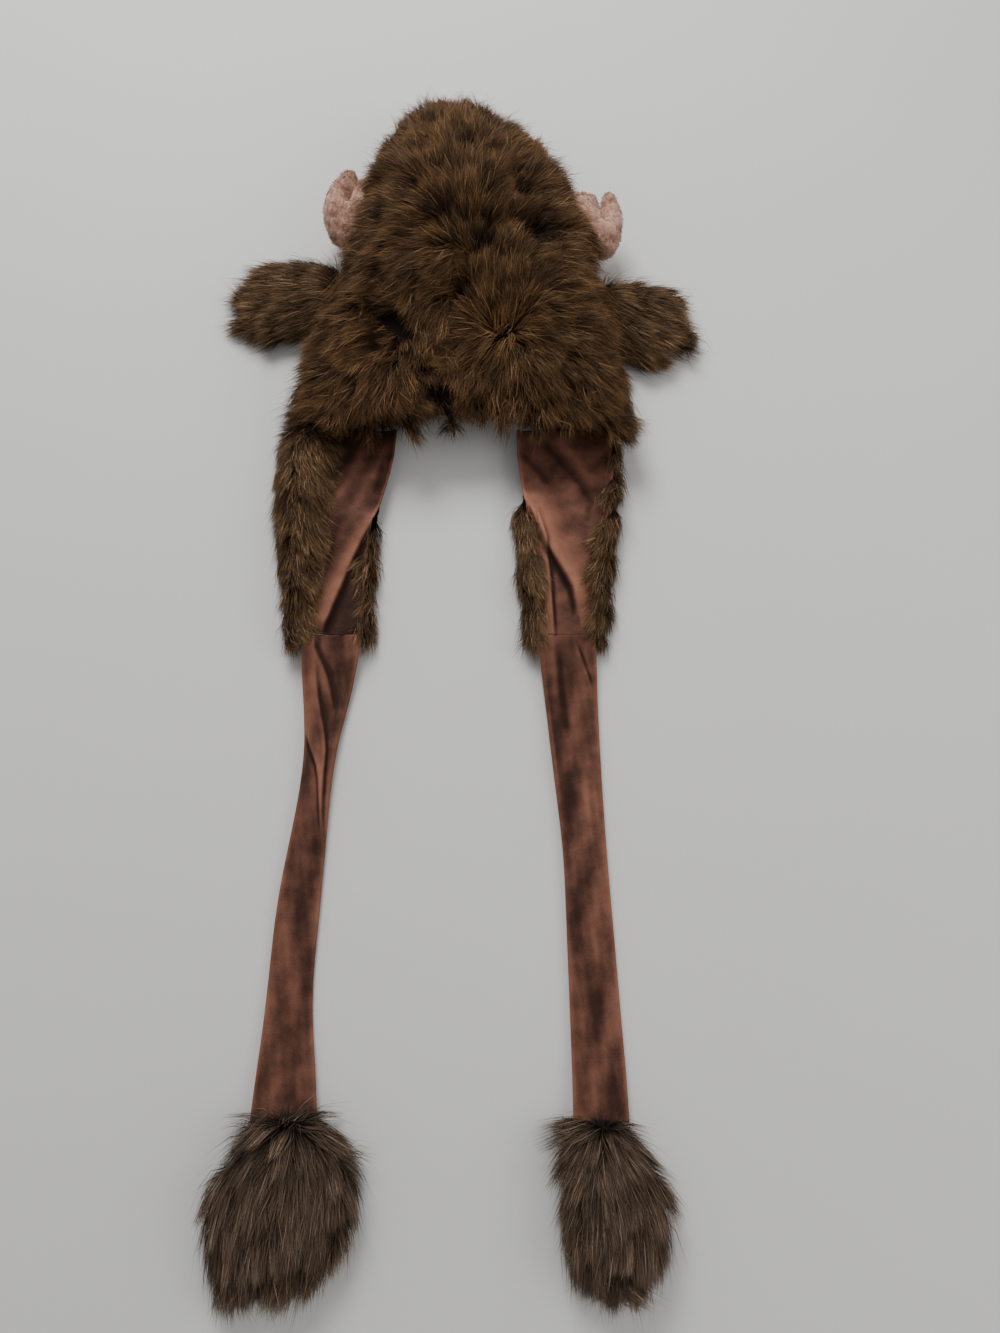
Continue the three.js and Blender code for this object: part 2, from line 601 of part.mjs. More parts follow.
// Rows of locks down each edge of a flap. first and last are shares of its length. crest is a
// share of flapRim: only an edge that rolls higher bears locks there. Those at the edge start
// inset inside it, at the height up as a share of the roll. fan is how far they point outwards.
const flapTuftRows = {
  count: 4,
  first: 0.26,
  last: 0.94,
  crest: 0.61,
  inset: 4,
  up: 0.45,
  fan: 0.3,
  edgeSize: 0.75,
  crestSize: 0.85,
};
function flapTufts(side) {
  const rows = flapTuftRows;
  const tufts = [];
  for (let i = 0; i < rows.count; i++) {
    const f = flapFrame(side, mix(rows.first, rows.last, i / (rows.count - 1)));
    const edges = [
      { edge: f.left, seat: f.seatLeft, roll: f.leftRoll, outward: -1 },
      { edge: f.right, seat: f.seatRight, roll: f.rightRoll, outward: 1 },
    ];
    for (const { edge, seat, roll, outward } of edges) {
      const low = new THREE.Vector3(edge - outward * rows.inset, f.y, roll * rows.up);
      const down = new THREE.Vector3(outward * rows.fan, -1, 0).normalize();
      const away = new THREE.Vector3(outward, 0, rows.fan).normalize();
      tufts.push(tuft(low, down, away, rows.edgeSize));
      if (roll > flapRim * rows.crest) {
        const crest = new THREE.Vector3(mix(seat, edge, flapShape.crest), f.y, roll);
        tufts.push(tuft(crest, down, new THREE.Vector3(0, 0, 1), rows.crestSize));
      }
    }
  }
  return tufts;
}

// Straps

function strapFrame(side, along) {
  const rows = strapSections[side];
  const end = flapFrame(side, 1);
  const start = (end.seatLeft + end.seatRight) / 2;
  return {
    x: start + columnAt(rows, "sideways", along) * strapLength,
    y: end.y - sewnGap - along * strapLength,
    half: (columnAt(rows, "width", along) * strapWidth) / 2,
    thick: columnAt(rows, "thick", along) * strapThickness,
    low: Math.max(0, columnAt(rows, "lift", along) * strapThickness),
    crease: columnAt(rows, "crease", along),
  };
}

// Shares of a strap's half width and of its thickness, which round off its edges and its crease.
const strapShape = { foot: 0.86, widest: 0.45, shoulder: 0.82, shoulderUp: 0.92, crown: 0.45 };
const creaseShape = { lip: 0.86, bottom: 0.55 };
const strapRows = 17;
function strapSolid(side, grow = 0) {
  const rings = [];
  for (let i = 0; i < strapRows; i++) {
    const along = i / (strapRows - 1);
    const f = strapFrame(side, along);
    const half = f.half + grow;
    const tuck = i === strapRows - 1 ? strapTuck : 0;
    const ends = i === 0 ? grow : i === strapRows - 1 ? -grow - tuck : 0;
    const top = f.low + f.thick + grow;
    const low = f.low - grow;
    const fold = f.crease * half;
    const up = (share) => mix(low, top, share);
    const ring = [
      [-half * strapShape.foot, low],
      [half * strapShape.foot, low],
      [half, up(strapShape.widest)],
      [half * strapShape.shoulder, up(strapShape.shoulderUp)],
      [mix(fold, half, strapShape.crown), top],
      [fold + creaseHalf, up(creaseShape.lip)],
      [fold, up(creaseShape.bottom)],
      [fold - creaseHalf, up(creaseShape.lip)],
      [mix(fold, -half, strapShape.crown), top],
      [-half * strapShape.shoulder, up(strapShape.shoulderUp)],
      [-half, up(strapShape.widest)],
    ];
    rings.push(ring.map(([x, z]) => new THREE.Vector3(f.x + x, f.y + ends, z)));
  }
  return solidOf(skinOver(rings));
}

// Paws

const pawWaist = 0.42; // the height of its widest place, as a share of its height
const pawAround = 12;
function pawPoint(side, along, turn) {
  const rows = pawSections[side];
  const wrist = strapFrame(side, 1);
  const left = columnAt(rows, "left", along) * pawWidth;
  const right = columnAt(rows, "right", along) * pawWidth;
  const top = columnAt(rows, "top", along) * pawHeight;
  const waist = top * pawWaist;
  const s = Math.sin(turn);
  const below = Math.min(1, flatBelow * Math.abs(s) ** floorUp);
  const z = s >= 0 ? mix(waist, top, s) : waist * (1 - below);
  return new THREE.Vector3(
    wrist.x + (left + right) / 2 + ((right - left) / 2) * Math.cos(turn),
    wrist.y - along * pawLength,
    z,
  );
}

const pawCuts = [0, 0.1, 0.25, 0.4, 0.55, 0.7, 0.83, 0.93, 1];
function pawBody(side) {
  const rings = pawCuts.map((along) =>
    Array.from({ length: pawAround }, (_, j) =>
      pawPoint(side, along, (2 * Math.PI * j) / pawAround),
    ),
  );
  return solidOf(skinOver(rings));
}

// Rows of locks over a paw: how far down it, how many, their size, and how far they fan out.
const pawTuftLift = 1.4; // how much more they face up than the paw's side does
const pawTuftDip = 0.1; // how far they dip into the paw
const pawTuftRows = [
  { along: 0.06, count: 4, size: 0.7, fan: 1.6 },
  { along: 0.28, count: 4, size: 0.95, fan: 0.5 },
  { along: 0.54, count: 5, size: 1.0, fan: 0.4 },
  { along: 0.8, count: 5, size: 0.95, fan: 0.15 },
];
function pawTufts(side) {
  return pawTuftRows.flatMap(({ along, count, size, fan }, row) =>
    Array.from({ length: count }, (_, j) => {
      const turn = (Math.PI * (j + (row % 2 ? 0.35 : 0.65))) / count;
      const root = pawPoint(side, along, turn);
      const lift = Math.sin(turn) * pawTuftLift;
      const out = new THREE.Vector3(Math.cos(turn), 0, lift).normalize();
      const way = new THREE.Vector3(Math.cos(turn) * fan, -1, 0);
      way.addScaledVector(out, -way.dot(out) - pawTuftDip).normalize();
      return tuft(root, way, out, size);
    }),
  );
}

// Ears

function earWays(side) {
  const turn = radians(earPlaces[side].turn);
  const way = new THREE.Vector3(Math.cos(turn), Math.sin(turn), 0);
  return [way, new THREE.Vector3(-way.y, way.x, 0)];
}

const earAround = 12;
function earRings(side, grow = 0) {
  const place = earPlaces[side];
  const root = new THREE.Vector3(place.across * halfWidth, place.along * crownLength, 0);
  const [way, across] = earWays(side);
  return earSections.map((row, i) => {
    const ends = i === 0 ? -grow : i === earSections.length - 1 ? grow : 0;
    const middle = root.clone().addScaledVector(way, row.along * place.reach * earLength + ends);
    const half = (row.wide * earWidth) / 2 + grow;
    const thick = (row.thick * earThickness) / 2 + grow;
    const height = Math.max(row.lift * earThickness, thick - grow);
    return Array.from({ length: earAround }, (_, j) => {
      const angle = (2 * Math.PI * j) / earAround;
      const point = middle.clone().addScaledVector(across, Math.cos(angle) * half);
      return point.setZ(height + Math.sin(angle) * thick);
    });
  });
}

// Rows of locks over an ear: which cut they stand on, and their size.
const earTuftsRound = 4;
const earTuftStep = 2; // points of the cut between two locks
const earTuftFan = 0.22; // how far the locks at its edges point outwards
const earTuftRise = 0.1;
const earTuftRows = [
  { cut: 2, size: 0.85 },
  { cut: 4, size: 0.85 },
  { cut: 6, size: 0.6 },
];
function earTufts(side, grow = 0) {
  const [way, sideways] = earWays(side);
  const up = new THREE.Vector3(0, 0, 1);
  const rings = earRings(side);
  return earTuftRows.flatMap(({ cut, size }) =>
    Array.from({ length: earTuftsRound }, (_, j) => {
      const spot = j * earTuftStep;
      const angle = (2 * Math.PI * spot) / earAround;
      const out = sideways.clone().multiplyScalar(Math.cos(angle));
      out.addScaledVector(up, Math.sin(angle) + earTuftRise).normalize();
      const along = way.clone().addScaledVector(sideways, earTuftFan * Math.cos(angle));
      along.normalize();
      return tuft(rings[cut][spot], along, out, size, grow);
    }),
  );
}

// Horns

const hornAround = 12;
function hornSolid(side, grow = 0) {
  const place = hornPlaces[side];
  const mirror = side === "left" ? -1 : 1;
  const rows = hornSections[side];
  const height = place.up * crownHeight;
  const rings = rows.map(({ out, towards, radius, thick, facing }, i) => {
    const turn = radians(facing);
    const across = new THREE.Vector3(mirror * Math.cos(turn), Math.sin(turn), 0);
    const along = new THREE.Vector3(-mirror * across.y, mirror * across.x, 0);
    const ends = i === 0 ? -grow : i === rows.length - 1 ? grow : 0;
    const middle = new THREE.Vector3(
      place.across * halfWidth + mirror * out * hornLength,
      place.along * crownLength + towards * hornLength,
      height,
    ).addScaledVector(along, ends);
    const reach = radius * hornBaseRadius + grow;
    const rise = thick * hornBaseRadius + grow;
    return Array.from({ length: hornAround }, (_, j) => {
      const angle = (2 * Math.PI * j) / hornAround;
      return middle
        .clone()
        .addScaledVector(across, Math.cos(angle) * reach)
        .setZ(height + Math.sin(angle) * rise);
    });
  });
  return solidOf(skinOver(rings));
}

// Assembly

const hood = new THREE.Group();
const crownSkin = crownSolid(0, -sewnGap);
const hollowCut = crownSolid(1, 0, tuftLength);
const hollowClearance = crownSolid(1, -sewnGap);
const neighbours = [];
for (const side of ["left", "right"]) {
  const strapClearance = strapSolid(side, sewnGap);
  const velvetClearance = flapVelvet(side, sewnGap);
  const flap = furred(flapBody(side), flapTufts(side))
    .subtract(strapClearance)
    .subtract(velvetClearance)
    .subtract(crownSkin);
  const paw = furred(pawBody(side), pawTufts(side)).subtract(strapClearance);
  const earTuftsOutside = earTufts(side).map((lock) => lock.subtract(crownSkin));
  const ear = furred(solidOf(skinOver(earRings(side))), earTuftsOutside).subtract(hollowClearance);
  const horn = hornSolid(side).subtract(hollowClearance);
  neighbours.push(
    hornSolid(side, sewnGap),
    solidOf(skinOver(earRings(side, sewnGap))),
    ...earTufts(side, sewnGap),
    flapBody(side, sewnGap),
    velvetClearance,
  );
  hood.add(
    meshOf(mainBody(horn), `horn_${side}`, hornTan),
    meshOf(mainBody(ear), `ear_${side}`, furBrown),
    meshOf(flapVelvet(side), `flap_lining_${side}`, velvetBrown),
    meshOf(strapSolid(side), `strap_${side}`, velvetBrown),
    meshOf(mainBody(flap), `flap_fur_${side}`, furBrown),
    meshOf(mainBody(paw), `paw_${side}`, furBrown),
  );
}

const crownFur = furred(crownSolid(0), crownTufts())
  .subtract(hollowCut)
  .subtract(wasm.Manifold.union(neighbours));
hood.add(meshOf(mainBody(crownFur), "crown_fur", furBrown));

const crownLining = crownSolid(1, sewnGap).subtract(
  crownSolid(1, sewnGap + liningWall, tuftLength),
);
hood.add(meshOf(crownLining, "crown_lining", liningBrown));

export default hood;
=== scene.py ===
# %% [markdown]
# # A fur animal hood, lying on its front
#
# The hood is a deep faux-fur crown with two ears and two small stuffed horns. An ear flap lined
# with velvet hangs from each side, and a long velvet strap runs from each flap to a fur paw.
# The solid model gives every piece its size and place. This file gives each one its surface.

# %% Load the solid model
import math

import bmesh
import bpy
import numpy as np
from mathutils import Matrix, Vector
from mathutils.bvhtree import BVHTree
from mathutils.kdtree import KDTree


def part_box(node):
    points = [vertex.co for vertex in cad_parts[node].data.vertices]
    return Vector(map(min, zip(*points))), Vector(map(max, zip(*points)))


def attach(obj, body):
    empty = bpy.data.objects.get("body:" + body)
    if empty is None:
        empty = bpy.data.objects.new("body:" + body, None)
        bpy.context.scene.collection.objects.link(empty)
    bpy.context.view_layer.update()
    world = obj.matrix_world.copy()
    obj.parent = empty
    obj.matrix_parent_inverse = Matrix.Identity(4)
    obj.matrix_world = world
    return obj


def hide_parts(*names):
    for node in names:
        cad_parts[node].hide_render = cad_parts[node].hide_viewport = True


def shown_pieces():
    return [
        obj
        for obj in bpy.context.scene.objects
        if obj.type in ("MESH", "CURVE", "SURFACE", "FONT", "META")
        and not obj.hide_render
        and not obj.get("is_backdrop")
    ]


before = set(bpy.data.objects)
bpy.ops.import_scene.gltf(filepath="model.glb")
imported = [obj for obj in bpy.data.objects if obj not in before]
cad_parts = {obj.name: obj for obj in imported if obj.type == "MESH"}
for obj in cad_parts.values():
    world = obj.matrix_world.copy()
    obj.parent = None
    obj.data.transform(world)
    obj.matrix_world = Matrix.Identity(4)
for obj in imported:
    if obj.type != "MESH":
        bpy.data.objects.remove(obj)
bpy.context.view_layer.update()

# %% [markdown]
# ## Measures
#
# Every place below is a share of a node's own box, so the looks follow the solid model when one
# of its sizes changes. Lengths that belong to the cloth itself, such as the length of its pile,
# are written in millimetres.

mm = 0.001
above_floor = 0.6 * mm
sides = ("left", "right")
crown_low, crown_high = (np.array(corner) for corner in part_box("crown_fur"))

# %% [markdown]
# ## The camera
#
# The hood is seen from above and a little from below its straps. The lens and the height make
# the same picture as a phone held over it.

# %% Camera
camera_place = (30 * mm, -590 * mm, 760 * mm)
camera_tilt = math.radians(16.7)
bpy.ops.object.camera_add(location=camera_place, rotation=(camera_tilt, 0, 0))
camera = bpy.context.object
camera.name = "camera"
camera.data.sensor_width = 36
camera.data.lens = 27.03
bpy.context.scene.camera = camera

# %% [markdown]
# ## The floor and the light
#
# A plain pale floor takes the soft shadows. One wide lamp overhead does most of the work, a
# second one from the side keeps the fur's depth readable, and the sky fills the rest.

# %% Floor and lights
def only(piece):
    """Selects one object alone, because an operator acts on all that is selected."""
    for other in bpy.context.selected_objects:
        other.select_set(False)
    bpy.context.view_layer.objects.active = piece
    piece.select_set(True)


bpy.ops.mesh.primitive_plane_add(size=12, location=(0, 0, -0.2 * mm))
floor = bpy.context.object
floor.name = "floor"
floor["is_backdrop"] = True

lamps = {
    "key": {"place": (-0.3, 1.0, 1.35), "size": 0.8, "power": 34},
    "side": {"place": (1.3, -0.7, 1.1), "size": 0.9, "power": 7},
}
for name, lamp in lamps.items():
    bpy.ops.object.light_add(type="AREA", location=lamp["place"])
    light = bpy.context.object
    light.name = "light_" + name
    light.data.size = lamp["size"]
    light.data.energy = lamp["power"]
    aim = Vector((0, -0.3, 0)) - Vector(lamp["place"])
    light.rotation_euler = aim.to_track_quat("-Z", "Y").to_euler()

world = bpy.context.scene.world or bpy.data.worlds.new("world")
bpy.context.scene.world = world
world.use_nodes = True
sky = world.node_tree.nodes["Background"]
sky.inputs["Color"].default_value = (1.0, 0.985, 0.96, 1)
sky.inputs["Strength"].default_value = 0.5

# %% [markdown]
# ## Shared shader groups
#
# Fur and velvet both get their life from small differences in colour. A hair is darker at its
# root, partly from its own colour and partly from painted shade of the deep fur, and each lock is a
# little different from the next. Velvet shows its pile brushed one way here and another way there,
# and its folds get painted light and shade. Each effect is one node group, used by several
# materials with values of their own.

# %% Node helpers
def fed(tree, socket, value):
    """Links a socket to another one, or gives it a value. A colour gets an alpha of 1."""
    if isinstance(value, bpy.types.NodeSocket):
        tree.links.new(value, socket)
    else:
        socket.default_value = (*value, 1) if isinstance(value, tuple) else value


def new_group(name, inputs, outputs):
    """An empty shader group. inputs maps a name to its default, outputs a name to its kind."""
    group = bpy.data.node_groups.new(name, "ShaderNodeTree")
    for title, value in inputs.items():
        kind = "NodeSocketColor" if isinstance(value, tuple) else "NodeSocketFloat"
        fed(group, group.interface.new_socket(title, in_out="INPUT", socket_type=kind), value)
    for title, kind in outputs.items():
        group.interface.new_socket(title, in_out="OUTPUT", socket_type="NodeSocket" + kind)
    return group, group.nodes.new("NodeGroupInput"), group.nodes.new("NodeGroupOutput")


def mixed(tree, share, first, second):
    """Mixes two colours. Each of the three is a value or a socket."""
    node = tree.nodes.new("ShaderNodeMix")
    node.data_type = "RGBA"
    for place, value in ((0, share), (6, first), (7, second)):
        fed(tree, node.inputs[place], value)
    return node.outputs[2]


def worked(tree, kind, *values):
    """A Math node on values or sockets."""
    node = tree.nodes.new("ShaderNodeMath")
    node.operation = kind
    for place, value in enumerate(values):
        fed(tree, node.inputs[place], value)
    return node.outputs[0]


def ranged(tree, value, low, high):
    """Maps a value smoothly from one range to the one from 0 to 1."""
    node = tree.nodes.new("ShaderNodeMapRange")
    node.interpolation_type = "SMOOTHSTEP"
    for title, given in (("Value", value), ("From Min", low), ("From Max", high)):
        fed(tree, node.inputs[title], given)
    return node.outputs["Result"]


def clouds(tree, where, scale, detail, rough=0.5):
    """Soft random values over space."""
    node = tree.nodes.new("ShaderNodeTexNoise")
    for title, given in (("Vector", where), ("Scale", scale), ("Detail", detail), ("Roughness", rough)):
        fed(tree, node.inputs[title], given)
    return node.outputs["Fac"]


def carried(tree, name):
    """A value that each point of a mesh carries under a name."""
    node = tree.nodes.new("ShaderNodeAttribute")
    node.attribute_name = name
    return node.outputs["Fac"]


def added_group(tree, group, values):
    """The node of a shader group, with its inputs fed."""
    node = tree.nodes.new("ShaderNodeGroup")
    node.node_tree = group
    for title, value in values.items():
        fed(tree, node.inputs[title], value)
    return node


# %% [markdown]
# The fur group reads four values that each hair carries: how far along it a point is, its own
# random tone, the tone that it shares with its lock, and how deep in a parting it grows. The last
# one darkens the hair with painted shade.

# %% The colour of a hair
def build_hair_colour():
    """Darker at the root, partly its own colour and partly painted shade, paler at the tip, a few pale
    guard hairs, a light for each lock, and painted shade deep in partings and hollows.
    """
    inputs = {
        "Root": (0.01, 0.006, 0.004), "Body": (0.06, 0.035, 0.02), "Tip": (0.14, 0.085, 0.045),
        "Guard": (0.3, 0.2, 0.12), "Along": 0.5, "Tone": 0.5, "Lock": 0.5, "Depth": 0.0,
    }
    group, given, result = new_group("hair_colour", inputs, {"Color": "Color"})
    root, body, tip, guard, along, tone, lock, depth = (given.outputs[title] for title in inputs)
    # The dark root is partly the fur's own colour and partly painted shade of the deep fur.
    low_half = mixed(group, ranged(group, along, 0.05, 0.6), root, body)
    whole = mixed(group, ranged(group, along, 0.45, 1.0), low_half, tip)
    is_guard = ranged(group, tone, 0.86, 0.94)
    guard_share = worked(group, "MULTIPLY", is_guard, ranged(group, along, 0.3, 0.8))
    with_guard = mixed(group, guard_share, whole, guard)
    own = worked(group, "MULTIPLY_ADD", tone, 0.5, 0.72)
    shared = worked(group, "MULTIPLY_ADD", lock, 0.85, 0.6)
    light = worked(group, "MULTIPLY", own, shared)
    # Hairs deep in a parting or a hollow are darkened: painted shade.
    depth_shade = worked(group, "MULTIPLY_ADD", depth, -0.75, 1.0)
    bright = group.nodes.new("ShaderNodeHueSaturation")
    group.links.new(worked(group, "MULTIPLY", light, depth_shade), bright.inputs["Value"])
    group.links.new(with_guard, bright.inputs["Color"])
    group.links.new(bright.outputs["Color"], result.inputs["Color"])
    return group


hair_colour = build_hair_colour()

# %% [markdown]
# The pile group serves velvet and fleece. It mixes two colours over wide soft patches, adds a
# finer mottle, and gives a fine height for the bump of the single fibres. On the velvet and the
# horns its Fold input carries painted light and shade, so Deep is a shaded colour of the cloth and
# Raised a lit one, which the patches and the mottle mix too.

# %% The colour and height of a short pile
def build_pile():
    """A colour from the painted light and shade of the folds, soft patches and single fibres, and a height
    from the last two.
    """
    inputs = {
        "Deep": (0.1, 0.04, 0.02), "Raised": (0.3, 0.16, 0.1), "Fold": 0.5, "Patch size": 0.02,
        "Patch strength": 0.5, "Grain size": 0.001, "Grain strength": 0.3,
    }
    group, given, result = new_group("pile", inputs, {"Color": "Color", "Height": "Float"})
    deep, raised, fold, patch_size, patch_strength, grain_size, grain_strength = (
        given.outputs[title] for title in inputs
    )
    where = group.nodes.new("ShaderNodeTexCoord").outputs["Object"]

    def centred(size, detail):
        noise = clouds(group, where, worked(group, "DIVIDE", 1.0, size), detail)
        return worked(group, "SUBTRACT", noise, 0.5)

    patch = worked(group, "MULTIPLY", centred(patch_size, 4.0), patch_strength)
    grain = centred(grain_size, 2.0)
    grain_part = worked(group, "MULTIPLY", grain, grain_strength)
    share = worked(group, "ADD", fold, worked(group, "MULTIPLY", patch, 2.0))
    share = ranged(group, worked(group, "ADD", share, grain_part), 0.0, 1.0)
    group.links.new(mixed(group, share, deep, raised), result.inputs["Color"])
    group.links.new(worked(group, "ADD", grain, patch), result.inputs["Height"])
    return group


pile = build_pile()

# %% [markdown]
# ## Materials
#
# The fur materials differ only in their colours: the crown is a dark golden brown, the flaps
# and ears are a warmer and lighter one, the paws are cooler, and the fuzz of the horns is pale.
# A number that is the same all over sits on the shader's own socket.

# %% Fur materials
def new_material(name, **settings):
    """A material with its Principled BSDF set up, and its node tree."""
    material = bpy.data.materials.new(name)
    material.use_nodes = True
    tree = material.node_tree
    shader = tree.nodes["Principled BSDF"]
    for title, value in settings.items():
        fed(tree, shader.inputs[title.replace("_", " ")], value)
    return material, tree, shader


def fur_material(name, **colours):
    """A fur in four colours. The other inputs of its group come from the hairs."""
    material, tree, shader = new_material(name, Roughness=0.7, Specular_IOR_Level=0.14)
    values = {title: carried(tree, title.lower()) for title in ("Along", "Tone", "Lock", "Depth")}
    group = added_group(tree, hair_colour, {**colours, **values})
    tree.links.new(group.outputs["Color"], shader.inputs["Base Color"])
    return material


golden_fur = fur_material(
    "golden_brown_fur",
    Root=(0.0035, 0.002, 0.0012),
    Body=(0.042, 0.0195, 0.0075),
    Tip=(0.145, 0.074, 0.029),
    Guard=(0.25, 0.148, 0.075),
)
warm_fur = fur_material(
    "warm_brown_fur",
    Root=(0.005, 0.003, 0.0018),
    Body=(0.068, 0.036, 0.0165),
    Tip=(0.2, 0.115, 0.055),
    Guard=(0.31, 0.2, 0.12),
)
fuzz_material = fur_material(
    "pinkish_tan_fuzz",
    Root=(0.2, 0.1, 0.07),
    Body=(0.36, 0.2, 0.14),
    Tip=(0.55, 0.34, 0.25),
    Guard=(0.6, 0.4, 0.3),
)
cool_fur = fur_material(
    "cool_brown_fur",
    Root=(0.006, 0.0042, 0.003),
    Body=(0.064, 0.041, 0.027),
    Tip=(0.145, 0.096, 0.066),
    Guard=(0.25, 0.18, 0.13),
)

# %% [markdown]
# The backing under the fur is a dark knit. It shows only in the partings, so it is painted nearly
# black there as their shade, with a little of the knit's grain.

# %% Cloth materials
def pile_material(name, values, bump, **settings):
    """A short-piled cloth: colour and fine relief come from the pile group."""
    material, tree, shader = new_material(name, **settings)
    group = added_group(tree, pile, {**values, "Fold": carried(tree, "fold")})
    relief = tree.nodes.new("ShaderNodeBump")
    relief.inputs["Strength"].default_value = bump
    relief.inputs["Distance"].default_value = 0.5 * mm
    tree.links.new(group.outputs["Height"], relief.inputs["Height"])
    tree.links.new(relief.outputs["Normal"], shader.inputs["Normal"])
    tree.links.new(group.outputs["Color"], shader.inputs["Base Color"])
    return material


backing_cloth = pile_material(
    "dark_fur_backing",
    {
        "Deep": (0.008, 0.005, 0.004), "Raised": (0.03, 0.019, 0.012),
        "Patch size": 12 * mm, "Grain size": 0.9 * mm,
    },
    bump=0.5, Roughness=0.95, Specular_IOR_Level=0.1,
)
velvet = pile_material(
    "reddish_brown_velvet",
    {
        "Deep": (0.022, 0.007, 0.004), "Raised": (0.31, 0.13, 0.083),
        "Patch size": 12 * mm, "Patch strength": 0.2, "Grain size": 0.7 * mm, "Grain strength": 0.3,
    },
    bump=0.35, Roughness=0.78, Specular_IOR_Level=0.2,
    Sheen_Weight=0.35, Sheen_Roughness=0.3, Sheen_Tint=(0.9, 0.55, 0.42),
)
horn_fleece = pile_material(
    "pinkish_tan_fleece",
    {
        "Deep": (0.17, 0.08, 0.055), "Raised": (0.54, 0.32, 0.235),
        "Patch size": 2.6 * mm, "Patch strength": 0.3, "Grain size": 0.7 * mm, "Grain strength": 0.4,
    },
    bump=0.8, Roughness=0.9, Specular_IOR_Level=0.15,
    Sheen_Weight=0.3, Sheen_Roughness=0.5, Sheen_Tint=(0.95, 0.8, 0.72),
)
lining_cloth = pile_material(
    "plain_brown_lining",
    {
        "Deep": (0.05, 0.022, 0.014), "Raised": (0.16, 0.08, 0.055),
        "Patch size": 24 * mm, "Patch strength": 0.5, "Grain size": 0.7 * mm, "Grain strength": 0.4,
    },
    bump=0.4, Roughness=0.85, Specular_IOR_Level=0.15,
)
floor_material, floor_tree, floor_shader = new_material("pale_floor", Roughness=0.9)
floor_where = floor_tree.nodes.new("ShaderNodeTexCoord").outputs["Object"]
floor_patches = clouds(floor_tree, floor_where, scale=1 / 0.3, detail=3.0, rough=0.55)
floor_tone = mixed(floor_tree, floor_patches, (0.6, 0.6, 0.59), (0.64, 0.64, 0.63))
floor_tree.links.new(floor_tone, floor_shader.inputs["Base Color"])
floor.data.materials.append(floor_material)

# %% [markdown]
# ## The bodies under the fur
#
# Fur grows from a backing cloth, and its tips make the outline. So each furry node is copied,
# smoothed until its locks are gone, and sunk by the depth of the fur. A thin wall sinks less
# than a thick one, so that no wall turns inside out. The outlines of the flaps, ears and paws
# are evened too, so that only hairs make their tufts.

# %% Copies, trees and smoothing
def linked(name, mesh):
    """A new object in the scene."""
    piece = bpy.data.objects.new(name, mesh)
    bpy.context.scene.collection.objects.link(piece)
    return piece


def plain_copy(node, name):
    """A new object with a node's form, whose loose triangles are merged into one skin."""
    form = bmesh.new()
    form.from_mesh(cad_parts[node].data)
    bmesh.ops.remove_doubles(form, verts=form.verts, dist=0.02 * mm)
    mesh = bpy.data.meshes.new(name)
    form.to_mesh(mesh)
    form.free()
    return linked(name, mesh)


def finished_with(piece, kind, **settings):
    """Adds one modifier and applies it."""
    only(piece)
    modifier = piece.modifiers.new(kind.lower(), kind)
    for title, value in settings.items():
        setattr(modifier, title, value)
    bpy.ops.object.modifier_apply(modifier=modifier.name)


def softened(node, name, grain, rounds):
    """A node's form as an even mesh, smoothed by a number of rounds."""
    piece = plain_copy(node, name)
    finished_with(piece, "REMESH", mode="VOXEL", voxel_size=grain)
    finished_with(piece, "SMOOTH", factor=0.5, iterations=rounds)
    return piece


def dressed(piece, material):
    """Smooth shading and one material."""
    piece.data.shade_smooth()
    piece.data.materials.append(material)


def written(piece, title, values):
    """Gives each point of a piece a value that its material can read."""
    column = piece.data.attributes.new(title, "FLOAT", "POINT")
    column.data.foreach_set("value", values.astype(np.float32))


def unit(vectors):
    """The same directions, one long."""
    return vectors / np.maximum(np.linalg.norm(vectors, axis=1, keepdims=True), 1e-9)


def eased(y, rows, values, reach=9 * mm):
    """Values between rows, rounded over the rows themselves."""
    offsets = np.linspace(-reach, reach, 7)
    return np.mean([np.interp(y + offset, rows, values) for offset in offsets], axis=0)


def points_of(piece):
    """The places of a piece's points, as an array."""
    points = np.zeros(len(piece.data.vertices) * 3)
    piece.data.vertices.foreach_get("co", points)
    return points.reshape(-1, 3)


def moved_to(piece, points):
    """Puts a piece's points at new places."""
    piece.data.vertices.foreach_set("co", points.astype(np.float32).ravel())
    piece.data.update()


def tree_of(*pieces):
    """One search tree over the faces of several objects."""
    points = []
    faces = []
    for piece in pieces:
        start = len(points)
        points.extend(vertex.co.copy() for vertex in piece.data.vertices)
        faces.extend([start + i for i in face.vertices] for face in piece.data.polygons)
    return BVHTree.FromPolygons(points, faces)


def fur_body(node, name, grain, rounds, depth, wall_share, inner=None):
    """The smooth body inside a furry node. inner is a tree whose near side stays in place."""
    piece = softened(node, name, grain, rounds)
    tree = tree_of(piece)
    near, shallow = 7 * mm, 2.5 * mm
    moves = []
    for vertex in piece.data.vertices:
        inward = -vertex.normal
        # The ray starts a little way in, so that it doesn't meet the face that it leaves.
        wall = tree.ray_cast(vertex.co + inward * 0.2 * mm, inward)[3] or depth / wall_share
        sunk = min(depth, wall_share * wall)
        if inner and inner.find_nearest(vertex.co, near)[0]:
            sunk = min(sunk, shallow)
        moves.append(inward * sunk)
    for vertex, move in zip(piece.data.vertices, moves):
        vertex.co += move
    finished_with(piece, "SMOOTH", factor=0.5, iterations=2)
    dressed(piece, backing_cloth)
    return piece


def drawn_in(piece, anchor, way, share):
    """Shortens a body along one way from an anchor, so that its fur can end where the node does."""
    points = points_of(piece)
    way = unit(np.array([way], float))[0]
    off = (points - np.array(anchor)) @ way
    moved_to(piece, points + way * (off * (share - 1))[:, None])


